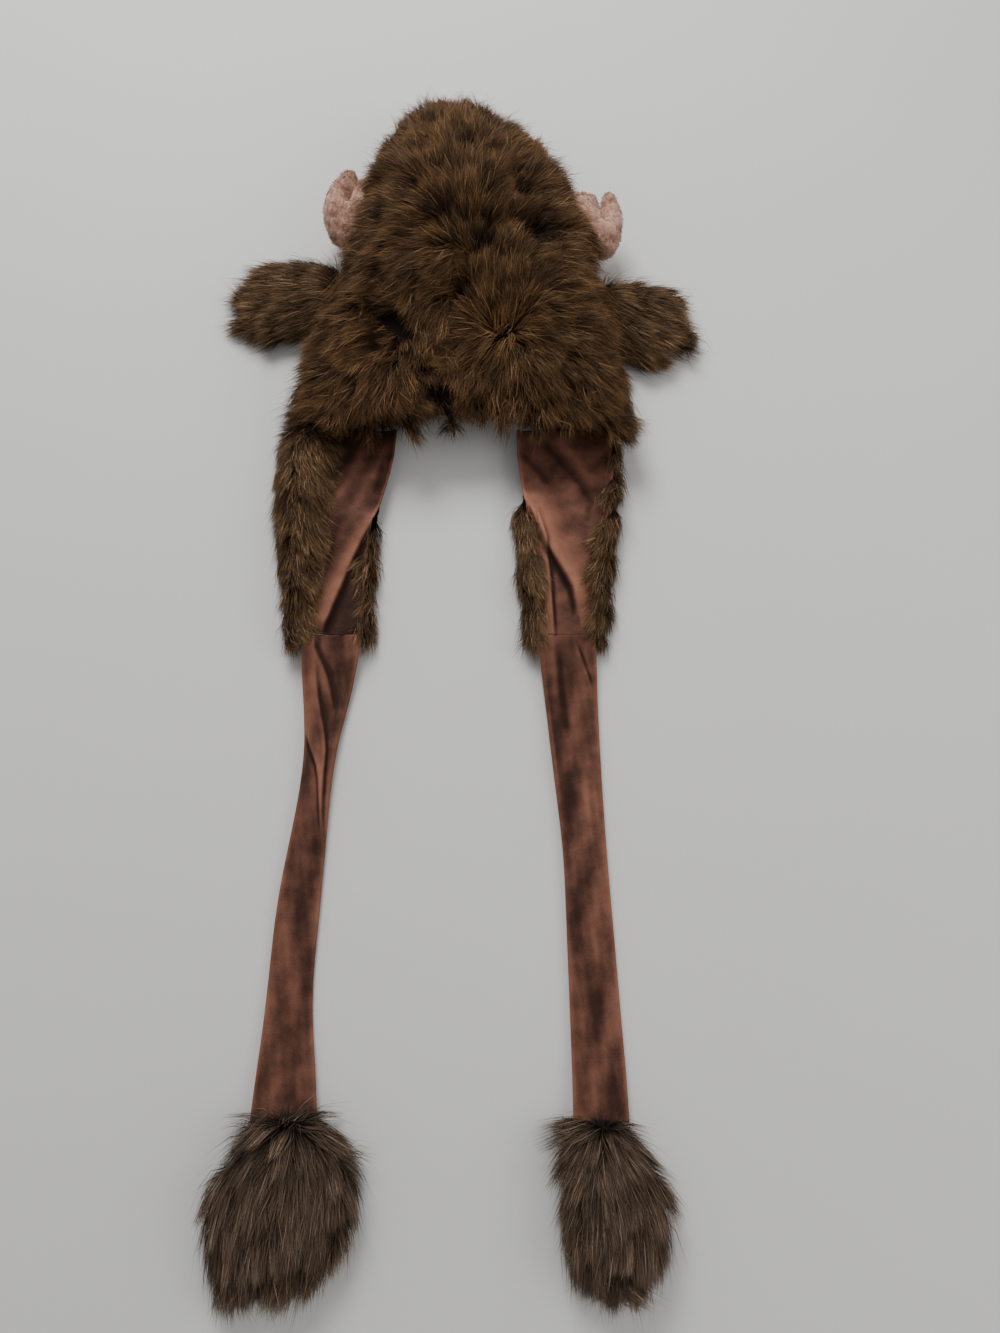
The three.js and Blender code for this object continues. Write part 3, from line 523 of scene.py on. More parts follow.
def evened(piece, way, reach, inset):
    """Draws a body's outline, seen from above along one way, as a smooth line, a little inside."""
    step, least, far_off = 3 * mm, 4 * mm, 0.9
    points = points_of(piece)
    way = unit(np.array([way[:2]], float))[0]
    across = np.array([-way[1], way[0]])
    along, off = points[:, :2] @ way, points[:, :2] @ across
    bins = ((along - along.min()) / step).astype(int)
    centres = along.min() + (np.arange(bins.max() + 1) + 0.5) * step
    low = np.array([off[bins == i].min(initial=far_off) for i in range(len(centres))])
    high = np.array([off[bins == i].max(initial=-far_off) for i in range(len(centres))])
    middles, halves = (low + high) / 2, (high - low) / 2
    middle, half = np.interp(along, centres, middles), np.interp(along, centres, halves)
    smooth_middle = eased(along, centres, middles, reach)
    smooth_half = np.maximum(eased(along, centres, halves, reach) - inset, least)
    moved = smooth_middle + (off - middle) / np.maximum(half, least) * smooth_half
    points[:, :2] += across * (moved - off)[:, None]
    moved_to(piece, points)


def dented(piece, dents):
    """Presses soft dents into a body from above. Each is an x, a y, a reach and a depth."""
    points = points_of(piece)
    facing = np.array([max(vertex.normal.z, 0) for vertex in piece.data.vertices])
    for x, y, reach, depth in dents:
        distance = np.hypot(points[:, 0] - x, points[:, 1] - y) / reach
        points[:, 2] -= depth * np.exp(-(distance**2)) * facing
    points[:, 2] = np.maximum(points[:, 2], above_floor)
    moved_to(piece, points)


# %% [markdown]
# ## Growing fur
#
# Each hair is a narrow ribbon of two short steps that ends in a point. Hairs start at random
# places on the backing, follow the way the fur is combed there, rise and then lie over, and
# gather into locks around a few guides. Arrays make tens of thousands of them at once, and
# they are kept as plain meshes, because a mesh is what leaves this file.
#
# A coat is a set of values. `rise` and `lie` are a hair's angles at its root and its tip,
# `stray` and `curl` how far it turns by itself, and `sway` how far its surroundings turn with
# it. A lock has about `lock_hairs` hairs, drawn together by the share `gather`, and a share
# `loose` of the hairs stays out of the locks. `valley` is the depth of the hollows, whose hairs
# are shorter and darkened with painted shade. Each coat starts from the plain one and says what
# differs.

# %% Random waves over space
def waves(points, size, seed):
    """A soft random value at each point, about -1 to 1, that changes over the given size."""
    draw = np.random.default_rng(seed)
    total = np.zeros(len(points))
    for _ in range(6):
        way = draw.normal(size=3)
        way *= 2 * math.pi * draw.uniform(0.6, 1.6) / (size * np.linalg.norm(way))
        total += np.sin(points @ way + draw.uniform(0, 2 * math.pi))
    return total / 2.6


# %% Places on a skin
def scattered(piece, count, bare, cover, draw):
    """Random places on a skin, not near the bare trees and not underneath the cover."""
    mesh = piece.data
    mesh.calc_loop_triangles()
    corners = np.zeros(len(mesh.loop_triangles) * 3, int)
    mesh.loop_triangles.foreach_get("vertices", corners)
    corners = corners.reshape(-1, 3)
    points = points_of(piece)
    normals = np.array([vertex.normal for vertex in mesh.vertices])
    a, b, c = (points[corners[:, i]] for i in range(3))
    cross = np.cross(b - a, c - a)
    weight = np.linalg.norm(cross, axis=1) / 2
    middle = (a + b + c) / 3
    for tree, reach in bare:
        near = [tree.find_nearest(Vector(place), reach)[0] is not None for place in middle]
        weight[np.array(near)] = 0
    if cover:
        under = [cover.ray_cast(Vector(place), Vector((0, 0, 1)))[0] is not None for place in middle]
        weight[np.array(under)] = 0
    # Few hairs are needed underneath, where a piece lies on the floor.
    underneath = (unit(cross)[:, 2] < -0.7) & (middle[:, 2] < 9 * mm)
    weight[underneath] *= 0.2
    chosen = draw.choice(len(corners), size=count, p=weight / weight.sum())
    r, s = np.sqrt(draw.random(count))[:, None], draw.random(count)[:, None]
    shares = (1 - r, r * (1 - s), r * s)
    place = sum(share * points[corners[chosen, i]] for i, share in enumerate(shares))
    normal = sum(share * normals[corners[chosen, i]] for i, share in enumerate(shares))
    return place, unit(normal)


# %% Hairs as ribbons
stations = np.array([0.0, 0.48, 1.0])
ribbon_widths = np.array([1.0, 0.8])
hair_faces = np.array([[0, 1, 3], [0, 3, 2], [2, 3, 4]])
plain_coat = dict(width=0.46 * mm, stray=0.2, curl=0.2, loose=0.06, gather=0.45, sway=0.16)


def grown(name, skin, coat, comb, material, seed, bare=(), cover=None, gaps=(), ground=None, where=None):
    """Fur as one mesh. coat holds its values, comb gives its way, gaps are partings whose hairs are
    darkened with painted shade.
    """
    draw = np.random.default_rng(seed)
    root, normal = scattered(skin, coat["count"], bare, cover, draw)
    if where is not None:
        kept = where(root)
        root, normal = root[kept], normal[kept]
    count = len(root)

    # The way of each hair. It is unsure where strokes meet, and a gap pushes hairs away.
    way = comb(root)
    sure = 0.7
    unsure = 1 - np.clip(np.linalg.norm(way[:, :2], axis=1), 0.1, sure) / sure
    for x, y, reach in gaps:
        away = root[:, :2] - (x, y)
        distance = np.linalg.norm(away, axis=1, keepdims=True) / reach
        way[:, :2] += 1.3 * unit(away) * np.exp(-((distance / 2) ** 2))
    way = unit(way - normal * np.sum(way * normal, axis=1, keepdims=True))
    side = np.cross(normal, way)
    swing = coat["sway"] * (waves(root, 34 * mm, seed + 1) + 0.6 * waves(root, 11 * mm, seed + 2))
    swing += draw.normal(0, coat["stray"], count) + 2.2 * unsure * waves(root, 9 * mm, seed + 5)
    way = way * np.cos(swing)[:, None] + side * np.sin(swing)[:, None]
    side = np.cross(normal, way)

    # How deep in a hollow or a gap it grows, which darkens it with painted shade, how long it is, and how
    # steeply it rises
    valley = waves(root, 30 * mm, seed + 6) + 0.6 * waves(root, 13 * mm, seed + 7)
    depth = coat["valley"] * np.clip(valley - 0.5, 0, 1)
    for x, y, reach in gaps:
        distance = np.hypot(root[:, 0] - x, root[:, 1] - y) / (1.6 * reach)
        depth = np.maximum(depth, np.exp(-(distance**2)))
    length = coat["length"] * (1 + 0.5 * coat["sway"] * waves(root, 26 * mm, seed + 3))
    length *= draw.uniform(0.72, 1.12, count) * (1 - 0.6 * depth)
    rise = coat["rise"] + draw.normal(0, 0.16, count) + 0.12 * waves(root, 18 * mm, seed + 4)
    rise += 0.55 * unsure
    bend = draw.normal(0, coat["curl"], count)
    loose = draw.random(count) < coat["loose"]
    length = np.where(loose, length * 1.2, length)
    rise = np.where(loose, rise + 0.3, rise)

    # Its line, in two steps
    line = np.zeros((3, count, 3))
    line[0] = root - normal * min(1 * mm, 0.1 * coat["length"])
    for step in range(2):
        share = (stations[step] + stations[step + 1]) / 2
        angle = rise * (1 - share) ** 1.2 + coat["lie"] * share
        run = (stations[step + 1] - stations[step]) * length
        turn = bend * (1 if step else -1)
        flat = way * np.cos(turn)[:, None] + side * np.sin(turn)[:, None]
        line[step + 1] = line[step] + run[:, None] * (
            flat * np.cos(angle)[:, None] + normal * np.sin(angle)[:, None]
        )

    # Locks: each hair is drawn towards the guide that is nearest to its root.
    guides = max(8, count // coat["lock_hairs"])
    finder = KDTree(guides)
    for i in range(guides):
        finder.insert(root[i], i)
    finder.balance()
    guide = np.array([finder.find(place)[1] for place in root])
    lock_tone = draw.random(guides)[guide]
    gather = coat["gather"] * draw.uniform(0.4, 1.3, guides)[guide] * np.where(loose, 0.2, 1)
    for step in (1, 2):
        pull = (gather * stations[step] ** 1.3)[:, None]
        line[step] += (line[step][guide] - line[step]) * pull

    # Nothing goes through the floor, or through the ground that is given.
    lowest = above_floor + draw.uniform(0, 1.6 * mm, count)
    for step in (1, 2):
        line[step][:, 2] = np.maximum(line[step][:, 2], lowest)
        if ground is not None:
            line[step][:, 2] = np.maximum(line[step][:, 2], ground(line[step]) + lowest)

    # Ribbons, each turned a little about its own line
    roll = draw.normal(0, 0.6, count)[:, None]
    width = coat["width"] * draw.uniform(0.7, 1.25, count)[:, None] / 2
    points = np.zeros((count, 5, 3))
    for step in range(2):
        along = unit(line[step + 1] - line[max(step - 1, 0)])
        across = unit(np.cross(along, normal))
        up = np.cross(across, along)
        edge = (across * np.cos(roll) + up * np.sin(roll)) * width * ribbon_widths[step]
        points[:, 2 * step] = line[step] - edge
        points[:, 2 * step + 1] = line[step] + edge
    points[:, 4] = line[2]
    points[:, :, 2] = np.maximum(points[:, :, 2], above_floor / 2)

    faces = (hair_faces[None] + 5 * np.arange(count)[:, None, None]).reshape(-1, 3)
    mesh = bpy.data.meshes.new(name)
    mesh.vertices.add(count * 5)
    mesh.vertices.foreach_set("co", points.astype(np.float32).ravel())
    mesh.loops.add(len(faces) * 3)
    mesh.loops.foreach_set("vertex_index", faces.astype(np.int32).ravel())
    mesh.polygons.add(len(faces))
    mesh.polygons.foreach_set("loop_start", np.arange(0, len(faces) * 3, 3, dtype=np.int32))
    mesh.update(calc_edges=True)
    piece = linked(name, mesh)
    written(piece, "along", np.tile(stations[[0, 0, 1, 1, 2]], count) + 0.7 * np.repeat(unsure, 5))
    for title, column in (("tone", draw.random(count)), ("lock", lock_tone), ("depth", depth)):
        written(piece, title, np.repeat(column, 5))
    dressed(piece, material)
    print(name, "has", count, "hairs and", len(faces), "triangles")
    return piece


# %% [markdown]
# ## Velvet
#
# The lining of each flap and the two straps are one kind of cloth, so they share one way of
# being made. A node's own cuts give the edges and the height. Then folds are drawn as lines:
# each has a gentle side and a steep one, as when cloth lies over itself. Their colour gets painted
# light and shade: lighter on the crests, on the fine ripples and along the edges, and a painted
# shadow at the foot of each steep side.

# %% The edges of a node, cut by cut
def cuts_of(node):
    """Left, right, lowest and highest at each of a node's cuts across Y, from the low end up."""
    points = np.array([vertex.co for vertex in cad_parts[node].data.vertices])
    rows = np.unique(np.round(points[:, 1] / mm, 1))
    found = []
    for row in rows:
        cut = points[np.abs(points[:, 1] / mm - row) < 0.2]
        found.append((row * mm, cut[:, 0].min(), cut[:, 0].max(), cut[:, 2].min(), cut[:, 2].max()))
    return np.array(found).T


# %% Folds as lines
def fold_heights(across, along, folds, width, length):
    """The height of the folds at places given as shares of a cloth, and the painted light and shade that
    they give: a painted highlight on each crest and a painted shadow at the foot of each steep side.
    """
    total = np.zeros_like(across)
    shade = np.zeros_like(across)
    x, y = across * width, along * length
    for height, reach, steep, places in folds:
        line = np.array(places) * (width, length)
        best = np.full(across.shape, 1e9)
        signed = np.zeros_like(across)
        fade = np.ones_like(across)
        for i in range(len(line) - 1):
            run = line[i + 1] - line[i]
            share = ((x - line[i, 0]) * run[0] + (y - line[i, 1]) * run[1]) / (run @ run)
            near = np.clip(share, 0, 1)
            dx = x - line[i, 0] - near * run[0]
            dy = y - line[i, 1] - near * run[1]
            distance = np.hypot(dx, dy)
            closer = distance < best
            best = np.where(closer, distance, best)
            cross = run[1] * dx - run[0] * dy
            signed = np.where(closer, np.sign(cross) * distance, signed)
            whole = (i + near) / (len(line) - 1)
            fade = np.where(closer, np.clip(4 * np.minimum(whole + 0.05, 1.05 - whole), 0, 1), fade)
        reaches = np.full(across.shape, reach * mm)
        if steep:
            # The steep side falls off fast, and a painted shadow lies at its foot.
            reaches = np.where(signed * steep > 0, reaches * 0.16, reaches)
            wide = 0.9 * mm + 0.1 * reach * mm
            foot = (signed * steep - 0.22 * reach * mm) / wide
            shade -= fade * 0.4 * np.exp(-(foot**2))
        bulge = np.exp(-((best / reaches) ** 2))
        raised = height * fade * bulge
        total += raised * mm
        # Each crest is painted lighter: a painted highlight.
        shade += 0.06 * raised * bulge
    return total, shade


# %% [markdown]
# ### The linings of the flaps
# Each lining is a grid that is laid over the fur of its flap, pressed into its folds, turned up
# where the fur starts, and given the thickness of velvet.
#
# A fold is a height and a reach in millimetres, its steep side (-1, 1 or 0 for none), and the
# line of its crest in shares of the cloth, from the left and from the top.

# %% Folds in the linings
lining_folds = {
    "left": [
        (7.5, 17, 1, [(1.05, 0.38), (0.98, 0.47), (0.66, 0.715), (0.37, 0.935), (0.27, 1.0)]),
        (3.5, 9, 0, [(0.55, 0.05), (0.42, 0.2), (0.2, 0.45)]),
        (3.0, 8, 0, [(0.86, 0.0), (0.8, 0.16), (0.6, 0.4), (0.35, 0.62)]),
        (-2.0, 2.2, 0, [(0.84, 0.15), (0.87, 0.33)]),
        (-3.0, 8, 0, [(0.3, 0.5), (0.1, 0.75)]),
        (1.2, 3, 0, [(0.7, 0.97), (1.0, 0.95)]),
    ],
    "right": [
        (7.0, 20, -1, [(-0.02, 0.3), (0.0, 0.36), (0.24, 0.58), (0.61, 0.78), (0.7, 0.9)]),
        (5.0, 11, 1, [(0.1, 0.4), (0.2, 0.55), (0.23, 0.7), (0.25, 0.85), (0.3, 1.02)]),
        (-3.2, 3.6, 0, [(0.22, 0.02), (0.42, 0.14), (0.65, 0.27), (0.8, 0.37)]),
        (2.4, 6, 0, [(0.35, 0.0), (0.6, 0.16), (0.8, 0.28)]),
        (-3.0, 3.2, 0, [(0.06, 0.12), (0.2, 0.2), (0.32, 0.28)]),
        (-2.2, 2.6, 0, [(0.8, 0.37), (1.0, 0.3)]),
        (-2.0, 2.8, 0, [(0.76, 0.38), (0.78, 0.46)]),
        (1.0, 4, 0, [(0.55, 0.93), (1.0, 0.88)]),
    ],
}
lining_tones = {"left": 0.14, "right": 0.32}


# %% Laying the linings
def laid_lining(side):
    """The velvet of one flap, from the edges and the lowest height of its node."""
    node, name = "flap_lining_" + side, "velvet_lining_" + side
    rows, left, right, low, _ = cuts_of(node)
    columns, steps, thickness = 48, 112, 1.6 * mm
    bpy.ops.mesh.primitive_grid_add(x_subdivisions=columns, y_subdivisions=steps, size=1)
    piece = bpy.context.object
    piece.name = name
    points = points_of(piece)
    across, along = points[:, 0] + 0.5, 0.5 - points[:, 1]
    y = rows[-1] + along * (rows[0] - rows[-1])
    x0, x1 = eased(y, rows, left), eased(y, rows, right)
    width, length = float(np.mean(right - left)), float(rows[-1] - rows[0])
    folds, shade = fold_heights(across, along, lining_folds[side], width, length)
    place = np.column_stack([x0 + across * (x1 - x0), y, np.zeros(len(y))])
    fine = 0.35 * mm * waves(place, 30 * mm, 5) + 0.12 * mm * waves(place, 10 * mm, 6)
    edge = np.minimum(across, 1 - across) * (x1 - x0)
    lip = 2.6 * mm * np.exp(-((edge / (2.2 * mm)) ** 2))
    seat = low.min() + 2.2 * mm
    place[:, 2] = seat + np.maximum(folds, -1.8 * mm) + fine + lip
    moved_to(piece, place)
    # Painted light and shade: a painted highlight along the edges and on the crests of the folds and fine
    # ripples, and a painted shadow at the foot of each steep fold.
    rim = 0.25 * np.exp(-((edge / (2 * mm)) ** 2))
    written(piece, "fold", lining_tones[side] + shade + fine / (6 * mm) + rim)
    finished_with(piece, "SOLIDIFY", thickness=thickness, offset=-1)
    dressed(piece, velvet)
    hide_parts(node)
    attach(piece, "root")
    print(name, "is", round(width / mm), "by", round(length / mm), "mm")
    return piece


linings = {side: laid_lining(side) for side in sides}

# %% [markdown]
# ### The straps
#
# A strap is a flat tube of velvet. Its upper side carries the folds, and its underside lies on
# the floor. The rings of the tube are closed at both ends.

# %% Folds in the straps
strap_folds = {
    "left": [
        (3.6, 9, 1, [(0.17, -0.02), (0.21, 0.03), (0.33, 0.056), (0.49, 0.095), (0.63, 0.14),
                     (0.72, 0.17)]),
        (3.4, 6, 1, [(0.25, 0.06), (0.29, 0.1), (0.35, 0.14), (0.43, 0.176), (0.585, 0.22), (0.7, 0.26),
         (0.76, 0.325), (0.83, 0.395), (0.93, 0.45)]),
        (2.6, 5, -1, [(0.0, 0.21), (0.25, 0.26), (0.46, 0.29), (0.61, 0.325), (0.72, 0.37), (0.84, 0.43)]),
        (1.5, 3, 0, [(0.9, 0.2), (0.93, 0.3), (0.96, 0.4)]),
        (1.2, 6, 0, [(0.3, 0.62), (0.5, 0.72), (0.6, 0.84)]),
        (1.3, 4, 0, [(0.6, 0.9), (0.85, 0.97)]),
    ],
    "right": [
        (1.8, 1.6, 0, [(0.06, 0.0), (0.055, 0.1), (0.06, 0.24), (0.05, 0.4)]),
        (-3.4, 2.6, 0, [(0.36, 0.0), (0.33, 0.1), (0.34, 0.18), (0.4, 0.24)]),
        (1.8, 4.5, 0, [(0.2, 0.0), (0.19, 0.08), (0.2, 0.16)]),
        (1.8, 3.0, 1, [(0.66, 0.02), (0.79, 0.075), (0.88, 0.11)]),
        (-1.6, 2.4, 0, [(0.48, 0.2), (0.5, 0.26), (0.42, 0.32)]),
        (-1.6, 2.4, 0, [(0.72, 0.3), (0.76, 0.38), (0.74, 0.46), (0.8, 0.52)]),
        (1.1, 4, 0, [(0.5, 0.62), (0.6, 0.68), (0.58, 0.76)]),
        (-1.2, 3, 0, [(0.45, 0.8), (0.5, 0.9), (0.52, 0.98)]),
    ],
}


# %% Lofting the straps
def strap_tube(side):
    """The velvet of one strap, from the edges and heights of its node."""
    node, name = "strap_" + side, "velvet_strap_" + side
    rows, left, right, low, high = cuts_of(node)
    above, below, steps = 46, 14, 230
    middle_share, face_share, plain_tone = 0.42, 0.62, 0.3
    length = float(rows[-1] - rows[0])
    around = above + below
    swept = np.append(np.linspace(1, -1, above, endpoint=False), np.linspace(-1, 1, below, endpoint=False))
    swept = np.tile(0.6 * swept + 0.4 * np.sin(swept * math.pi / 2), steps)
    over = np.tile(np.arange(around) < above, steps)
    along = np.repeat(np.linspace(0, 1, steps), around)
    y = rows[-1] - along * length
    x0, x1 = eased(y, rows, left), eased(y, rows, right)
    bottom, top = np.maximum(eased(y, rows, low), above_floor / 2), eased(y, rows, high)
    across = 0.5 + 0.5 * swept
    middle = bottom + (top - bottom) * middle_share
    upper = (1 - np.abs(swept) ** 3.2) ** 0.28
    place = np.column_stack([x0 + across * (x1 - x0), y, np.zeros(len(y))])
    width = float(np.mean(x1 - x0))
    folds, shade = fold_heights(across, along, strap_folds[side], width, length)
    drawn_out = place * (1, 0.25, 1)
    fine = 0.35 * mm * waves(drawn_out, 24 * mm, 15) + 0.12 * mm * waves(drawn_out, 8 * mm, 16)
    face = middle + (top - middle) * face_share * upper + (folds + fine) * upper
    back = middle - (middle - bottom) * upper
    place[:, 2] = np.maximum(np.where(over, face, back), bottom)

    # One quad between each two points of two rings, and a fan of triangles at each end
    points = [*place, place[:around].mean(axis=0), place[-around:].mean(axis=0)]
    first, last = len(place), len(place) + 1
    end = (steps - 1) * around
    faces = []
    for i in range(around):
        j = (i + 1) % around
        faces.extend((a + i, a + j, a + around + j, a + around + i) for a in range(0, end, around))
        faces.append((first, j, i))
        faces.append((last, end + i, end + j))
    mesh = bpy.data.meshes.new(name)
    mesh.from_pydata([tuple(point) for point in points], [], faces)
    piece = linked(name, mesh)
    # Painted light and shade: a painted highlight along both edges and on the crests of the folds and fine
    # ripples, and a painted shadow at the foot of each steep fold.
    rim = np.minimum(across, 1 - across) * (x1 - x0) / (2.4 * mm)
    tone = plain_tone + shade + fine / (3 * mm) + 0.22 * np.exp(-(rim**2))
    written(piece, "fold", np.append(tone, [plain_tone, plain_tone]))
    only(piece)
    bpy.ops.object.mode_set(mode="EDIT")
    bpy.ops.mesh.select_all(action="SELECT")
    bpy.ops.mesh.normals_make_consistent(inside=False)
    bpy.ops.object.mode_set(mode="OBJECT")
    dressed(piece, velvet)
    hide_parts(node)
    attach(piece, "root")
    print(name, "is", round(width / mm), "by", round(length / mm), "mm")
    return piece


straps = {side: strap_tube(side) for side in sides}

# %% [markdown]
# ## The crown
#
# The comb is a short table of strokes, as a groomer would brush the fur: where, in hundredths of
# the crown's box, and which way, in degrees from the right. Between strokes the fur follows the
# nearest ones. The gaps are the partings where the dark backing shows, with a reach in mm; the
# hairs near them are darkened with painted shade.

# %% Combing
def on_crown(across, along):
    """A place on the crown, in metres, from hundredths of its box."""
    return crown_low[:2] + (crown_high - crown_low)[:2] * (across / 100, along / 100)


comb_strokes = {
    "top": [
        (42, 84, 100), (52, 82, 90), (59, 81, 75), (32, 77, 130), (38, 74, 120),
        (47, 75, 100), (54, 74, 80), (61, 74, 60), (68, 73, 48), (27, 69, 155),
        (32, 67, 148), (40, 66, 130), (47, 65, 105), (54, 64, 75), (61, 65, 55),
        (70, 65, 40), (77, 64, 25), (25, 59, 172), (31, 58, 168), (38, 57, 155),
        (46, 57, 120), (53, 55, 80), (61, 57, 60), (70, 57, 30), (78, 57, 12),
    ],
    "middle": [
        (25, 51, 188), (32, 50, 190), (39, 49, 185), (46, 49, 170), (50, 48, 100),
        (57, 49, 60), (64, 49, 40), (72, 49, 15), (81, 49, -8), (29, 44, 205),
        (36, 43, 205), (43, 42, 200), (49, 41, 215), (57, 40, 80), (63, 42, 70),
        (68, 44, 50), (77, 43, 10), (83, 42, -20), (39, 36, 235), (43, 31, 250),
        (38, 25, -100), (42, 22, -85), (44, 16, -75), (41, 12, -60), (45, 9, -70),
    ],
    "left lobe": [
        (34, 37, 215), (28, 38, 205), (22, 37, 195), (16, 36, 190), (18, 30, 200),
        (25, 29, 210), (28, 25, 225), (16, 23, 205), (23, 21, 215), (29, 18, 235),
        (13, 18, 205), (9, 16, 205), (19, 13, 215), (14, 12, 215), (8, 9, 225),
        (6, 3, 240), (4, -3, 250), (19, 7, 245), (24, 7, 265), (28, 8, -75),
        (32, 9, -50), (37, 8, -40), (41, 5, -45), (37, 2, -55), (32, 2, -65),
        (27, 1, -85), (21, 0, -100), (15, 1, 240), (47, 2, -70), (53, 0, -80),
    ],
    "right lobe": [
        (61, 30, 100), (65, 31, 85), (69, 31, 60), (56, 31, 110), (60, 36, 85),
        (52, 25, 175), (54, 21, 200), (74, 30, 30), (74, 25, 0), (81, 29, 5),
        (86, 25, -20), (80, 21, -25), (71, 19, -50), (65, 18, -85), (59, 18, -110),
        (54, 16, -110), (57, 9, -95), (64, 9, -85), (71, 10, -70), (77, 12, -50),
        (86, 14, -40), (93, 12, -45), (96, 6, -50), (97, -2, -60), (89, 5, -50),
        (82, 4, -55), (76, 3, -65), (69, 3, -75), (63, 2, -85), (56, 3, -95),
        (84, -2, -60), (64, -3, -85), (88, 41, -20), (90, 32, -35), (86, 36, -15),
    ],
}
crown_gaps = [
    (52, 71, 5), (65, 58, 7), (70, 50, 7), (64, 49, 5), (56, 42, 7),
    (52, 33, 7), (34, 29, 8), (36, 27, 5), (47, 50, 5), (57, 48, 5), (31, 41, 5),
    (40, 19, 6), (43, 14, 6), (47, 9, 7), (50, 4, 7), (21, 1, 6),
    (26, 1, 7), (6, 6, 5), (68, 45, 5), (74, 47, 4), (28, 31, 6),
    (46, 25, 4),
]


def strokes_comb(strokes, spread):
    """A way to comb, from a table of strokes. It also falls a little, as fur does on a side."""
    rows = [stroke for zone in strokes.values() for stroke in zone]
    places = np.array([on_crown(across, along) for across, along, _ in rows])
    angles = np.radians([angle for _, _, angle in rows])
    ways = np.column_stack([np.cos(angles), np.sin(angles)])

    def comb(points):
        gap = points[:, None, :2] - places[None]
        weight = 1 / (np.sum(gap**2, axis=2) + spread**2) ** 2
        way = weight @ ways / weight.sum(axis=1, keepdims=True)
        return np.column_stack([way, -0.55 * np.linalg.norm(way, axis=1)])

    return comb


# %% The crown's backing
lining_tree = tree_of(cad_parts["crown_lining"])
horn_tree = tree_of(*(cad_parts["horn_" + side] for side in sides))
velvet_tree = tree_of(*linings.values(), *straps.values())
crown_backing = fur_body(
    "crown_fur", "crown_backing", grain=5 * mm, rounds=34, depth=8 * mm, wall_share=0.42,
    inner=lining_tree,
)
gap_places = [(*on_crown(across, along), reach * mm) for across, along, reach in crown_gaps]
dented(crown_backing, [(x, y, reach * 1.9, 6 * mm) for x, y, reach in gap_places])

# Only the fur reaches the hem, so the backing is shortened there.
hem = crown_low[1] + 20 * mm
hem_share = 0.3
points = points_of(crown_backing)
below = points[:, 1] < hem
points[:, 1] = np.where(below, hem + hem_share * (points[:, 1] - hem), points[:, 1])
moved_to(crown_backing, points)
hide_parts("crown_fur")
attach(crown_backing, "root")
print("crown backing:", len(crown_backing.data.polygons), "faces")


# %% [markdown]
# The fur of the crown hangs over the velvet at its hem, so a hair that would pass through the
# velvet is lifted onto it.

# %% The crown's fur
velvet_top = crown_low[1] + 45 * mm
over_all = 0.2


def velvet_ground(points):
    """How high the velvet lies at each point, or 0 where there is none."""
    height = np.zeros(len(points))
    for i in np.nonzero(points[:, 1] < velvet_top)[0]:
        hit = velvet_tree.ray_cast(Vector((points[i, 0], points[i, 1], over_all)), Vector((0, 0, -1)))
        if hit[0] is not None:
            height[i] = hit[0].z
    return height


crown_coat = dict(
    plain_coat, count=150000, length=29 * mm, rise=0.95, lie=0.02, curl=0.22, loose=0.07,
    lock_hairs=36, valley=0.75, sway=0.32,
)
crown_comb = strokes_comb(comb_strokes, 6 * mm)
crown_bare = [(lining_tree, 4 * mm), (horn_tree, 2.5 * mm)]
split_x, split_y = on_crown(49, 44)


def in_part(part):
    """A test of which roots lie in one quarter of the crown."""
    def where(points):
        lower, left = points[:, 1] < split_y, points[:, 0] < split_x
        return (lower == part.startswith("lower")) & (left == part.endswith("left"))

    return where


for number, part in enumerate(("lower_left", "lower_right", "upper_left", "upper_right")):
    fur = grown(
        "crown_fur_" + part, crown_backing, crown_coat, crown_comb, golden_fur, 100 + number,
        bare=crown_bare, cover=velvet_tree, gaps=gap_places, ground=velvet_ground, where=in_part(part),
    )
    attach(fur, "root")
# %% [markdown]
# ## The flaps
#
# The fur of a flap rolls over at its edges and parts along the crest of the roll: it falls
# outwards on one side, and over the velvet on the other.

# %% Flap fur
flap_coat = dict(plain_coat, count=19000, length=23 * mm, rise=0.8, lie=0.0, lock_hairs=34, valley=0.35)


def flap_comb(side):
    """Down the flap, and away from the middle of each roll of fur."""
    rows, left, right, _, _ = cuts_of("flap_lining_" + side)
    fur_low, fur_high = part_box("flap_fur_" + side)
    fringe, roll = 10 * mm, 16 * mm

    def comb(points):
        seat_left = eased(points[:, 1], rows, left)
        seat_right = eased(points[:, 1], rows, right)
        middle = (seat_left + seat_right) / 2
        crest_left = (fur_low.x + fringe + seat_left) / 2
        crest_right = (fur_high.x - fringe + seat_right) / 2
        crest = np.where(points[:, 0] < middle, crest_left, crest_right)
        sideways = np.clip((points[:, 0] - crest) / roll, -1, 1) * 0.95
        return np.column_stack([sideways, np.full(len(points), -1.0), np.full(len(points), -0.35)])

    return comb


crown_tree = tree_of(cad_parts["crown_fur"])
for number, side in enumerate(sides):
    backing = fur_body(
        "flap_fur_" + side, "flap_backing_" + side, grain=3.5 * mm, rounds=60, depth=4 * mm, wall_share=0.3,
    )
    evened(backing, (0, -1, 0), reach=26 * mm, inset=3 * mm)
    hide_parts("flap_fur_" + side)
    fur = grown(
        "flap_fur_coat_" + side, backing, flap_coat, flap_comb(side), warm_fur, 200 + number,
        bare=[(velvet_tree, 2 * mm), (crown_tree, 2 * mm)], cover=velvet_tree, ground=velvet_ground,
    )
    for piece in (backing, fur):
        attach(piece, "root")

# %% [markdown]
# ## The ears and the paws
#
# The fur of an ear runs outwards from its root. That of a paw is longer, straighter and cooler,
# combed down from the strap, and it stands out at the top where it is cut. The far end of a
# paw is rounded off.

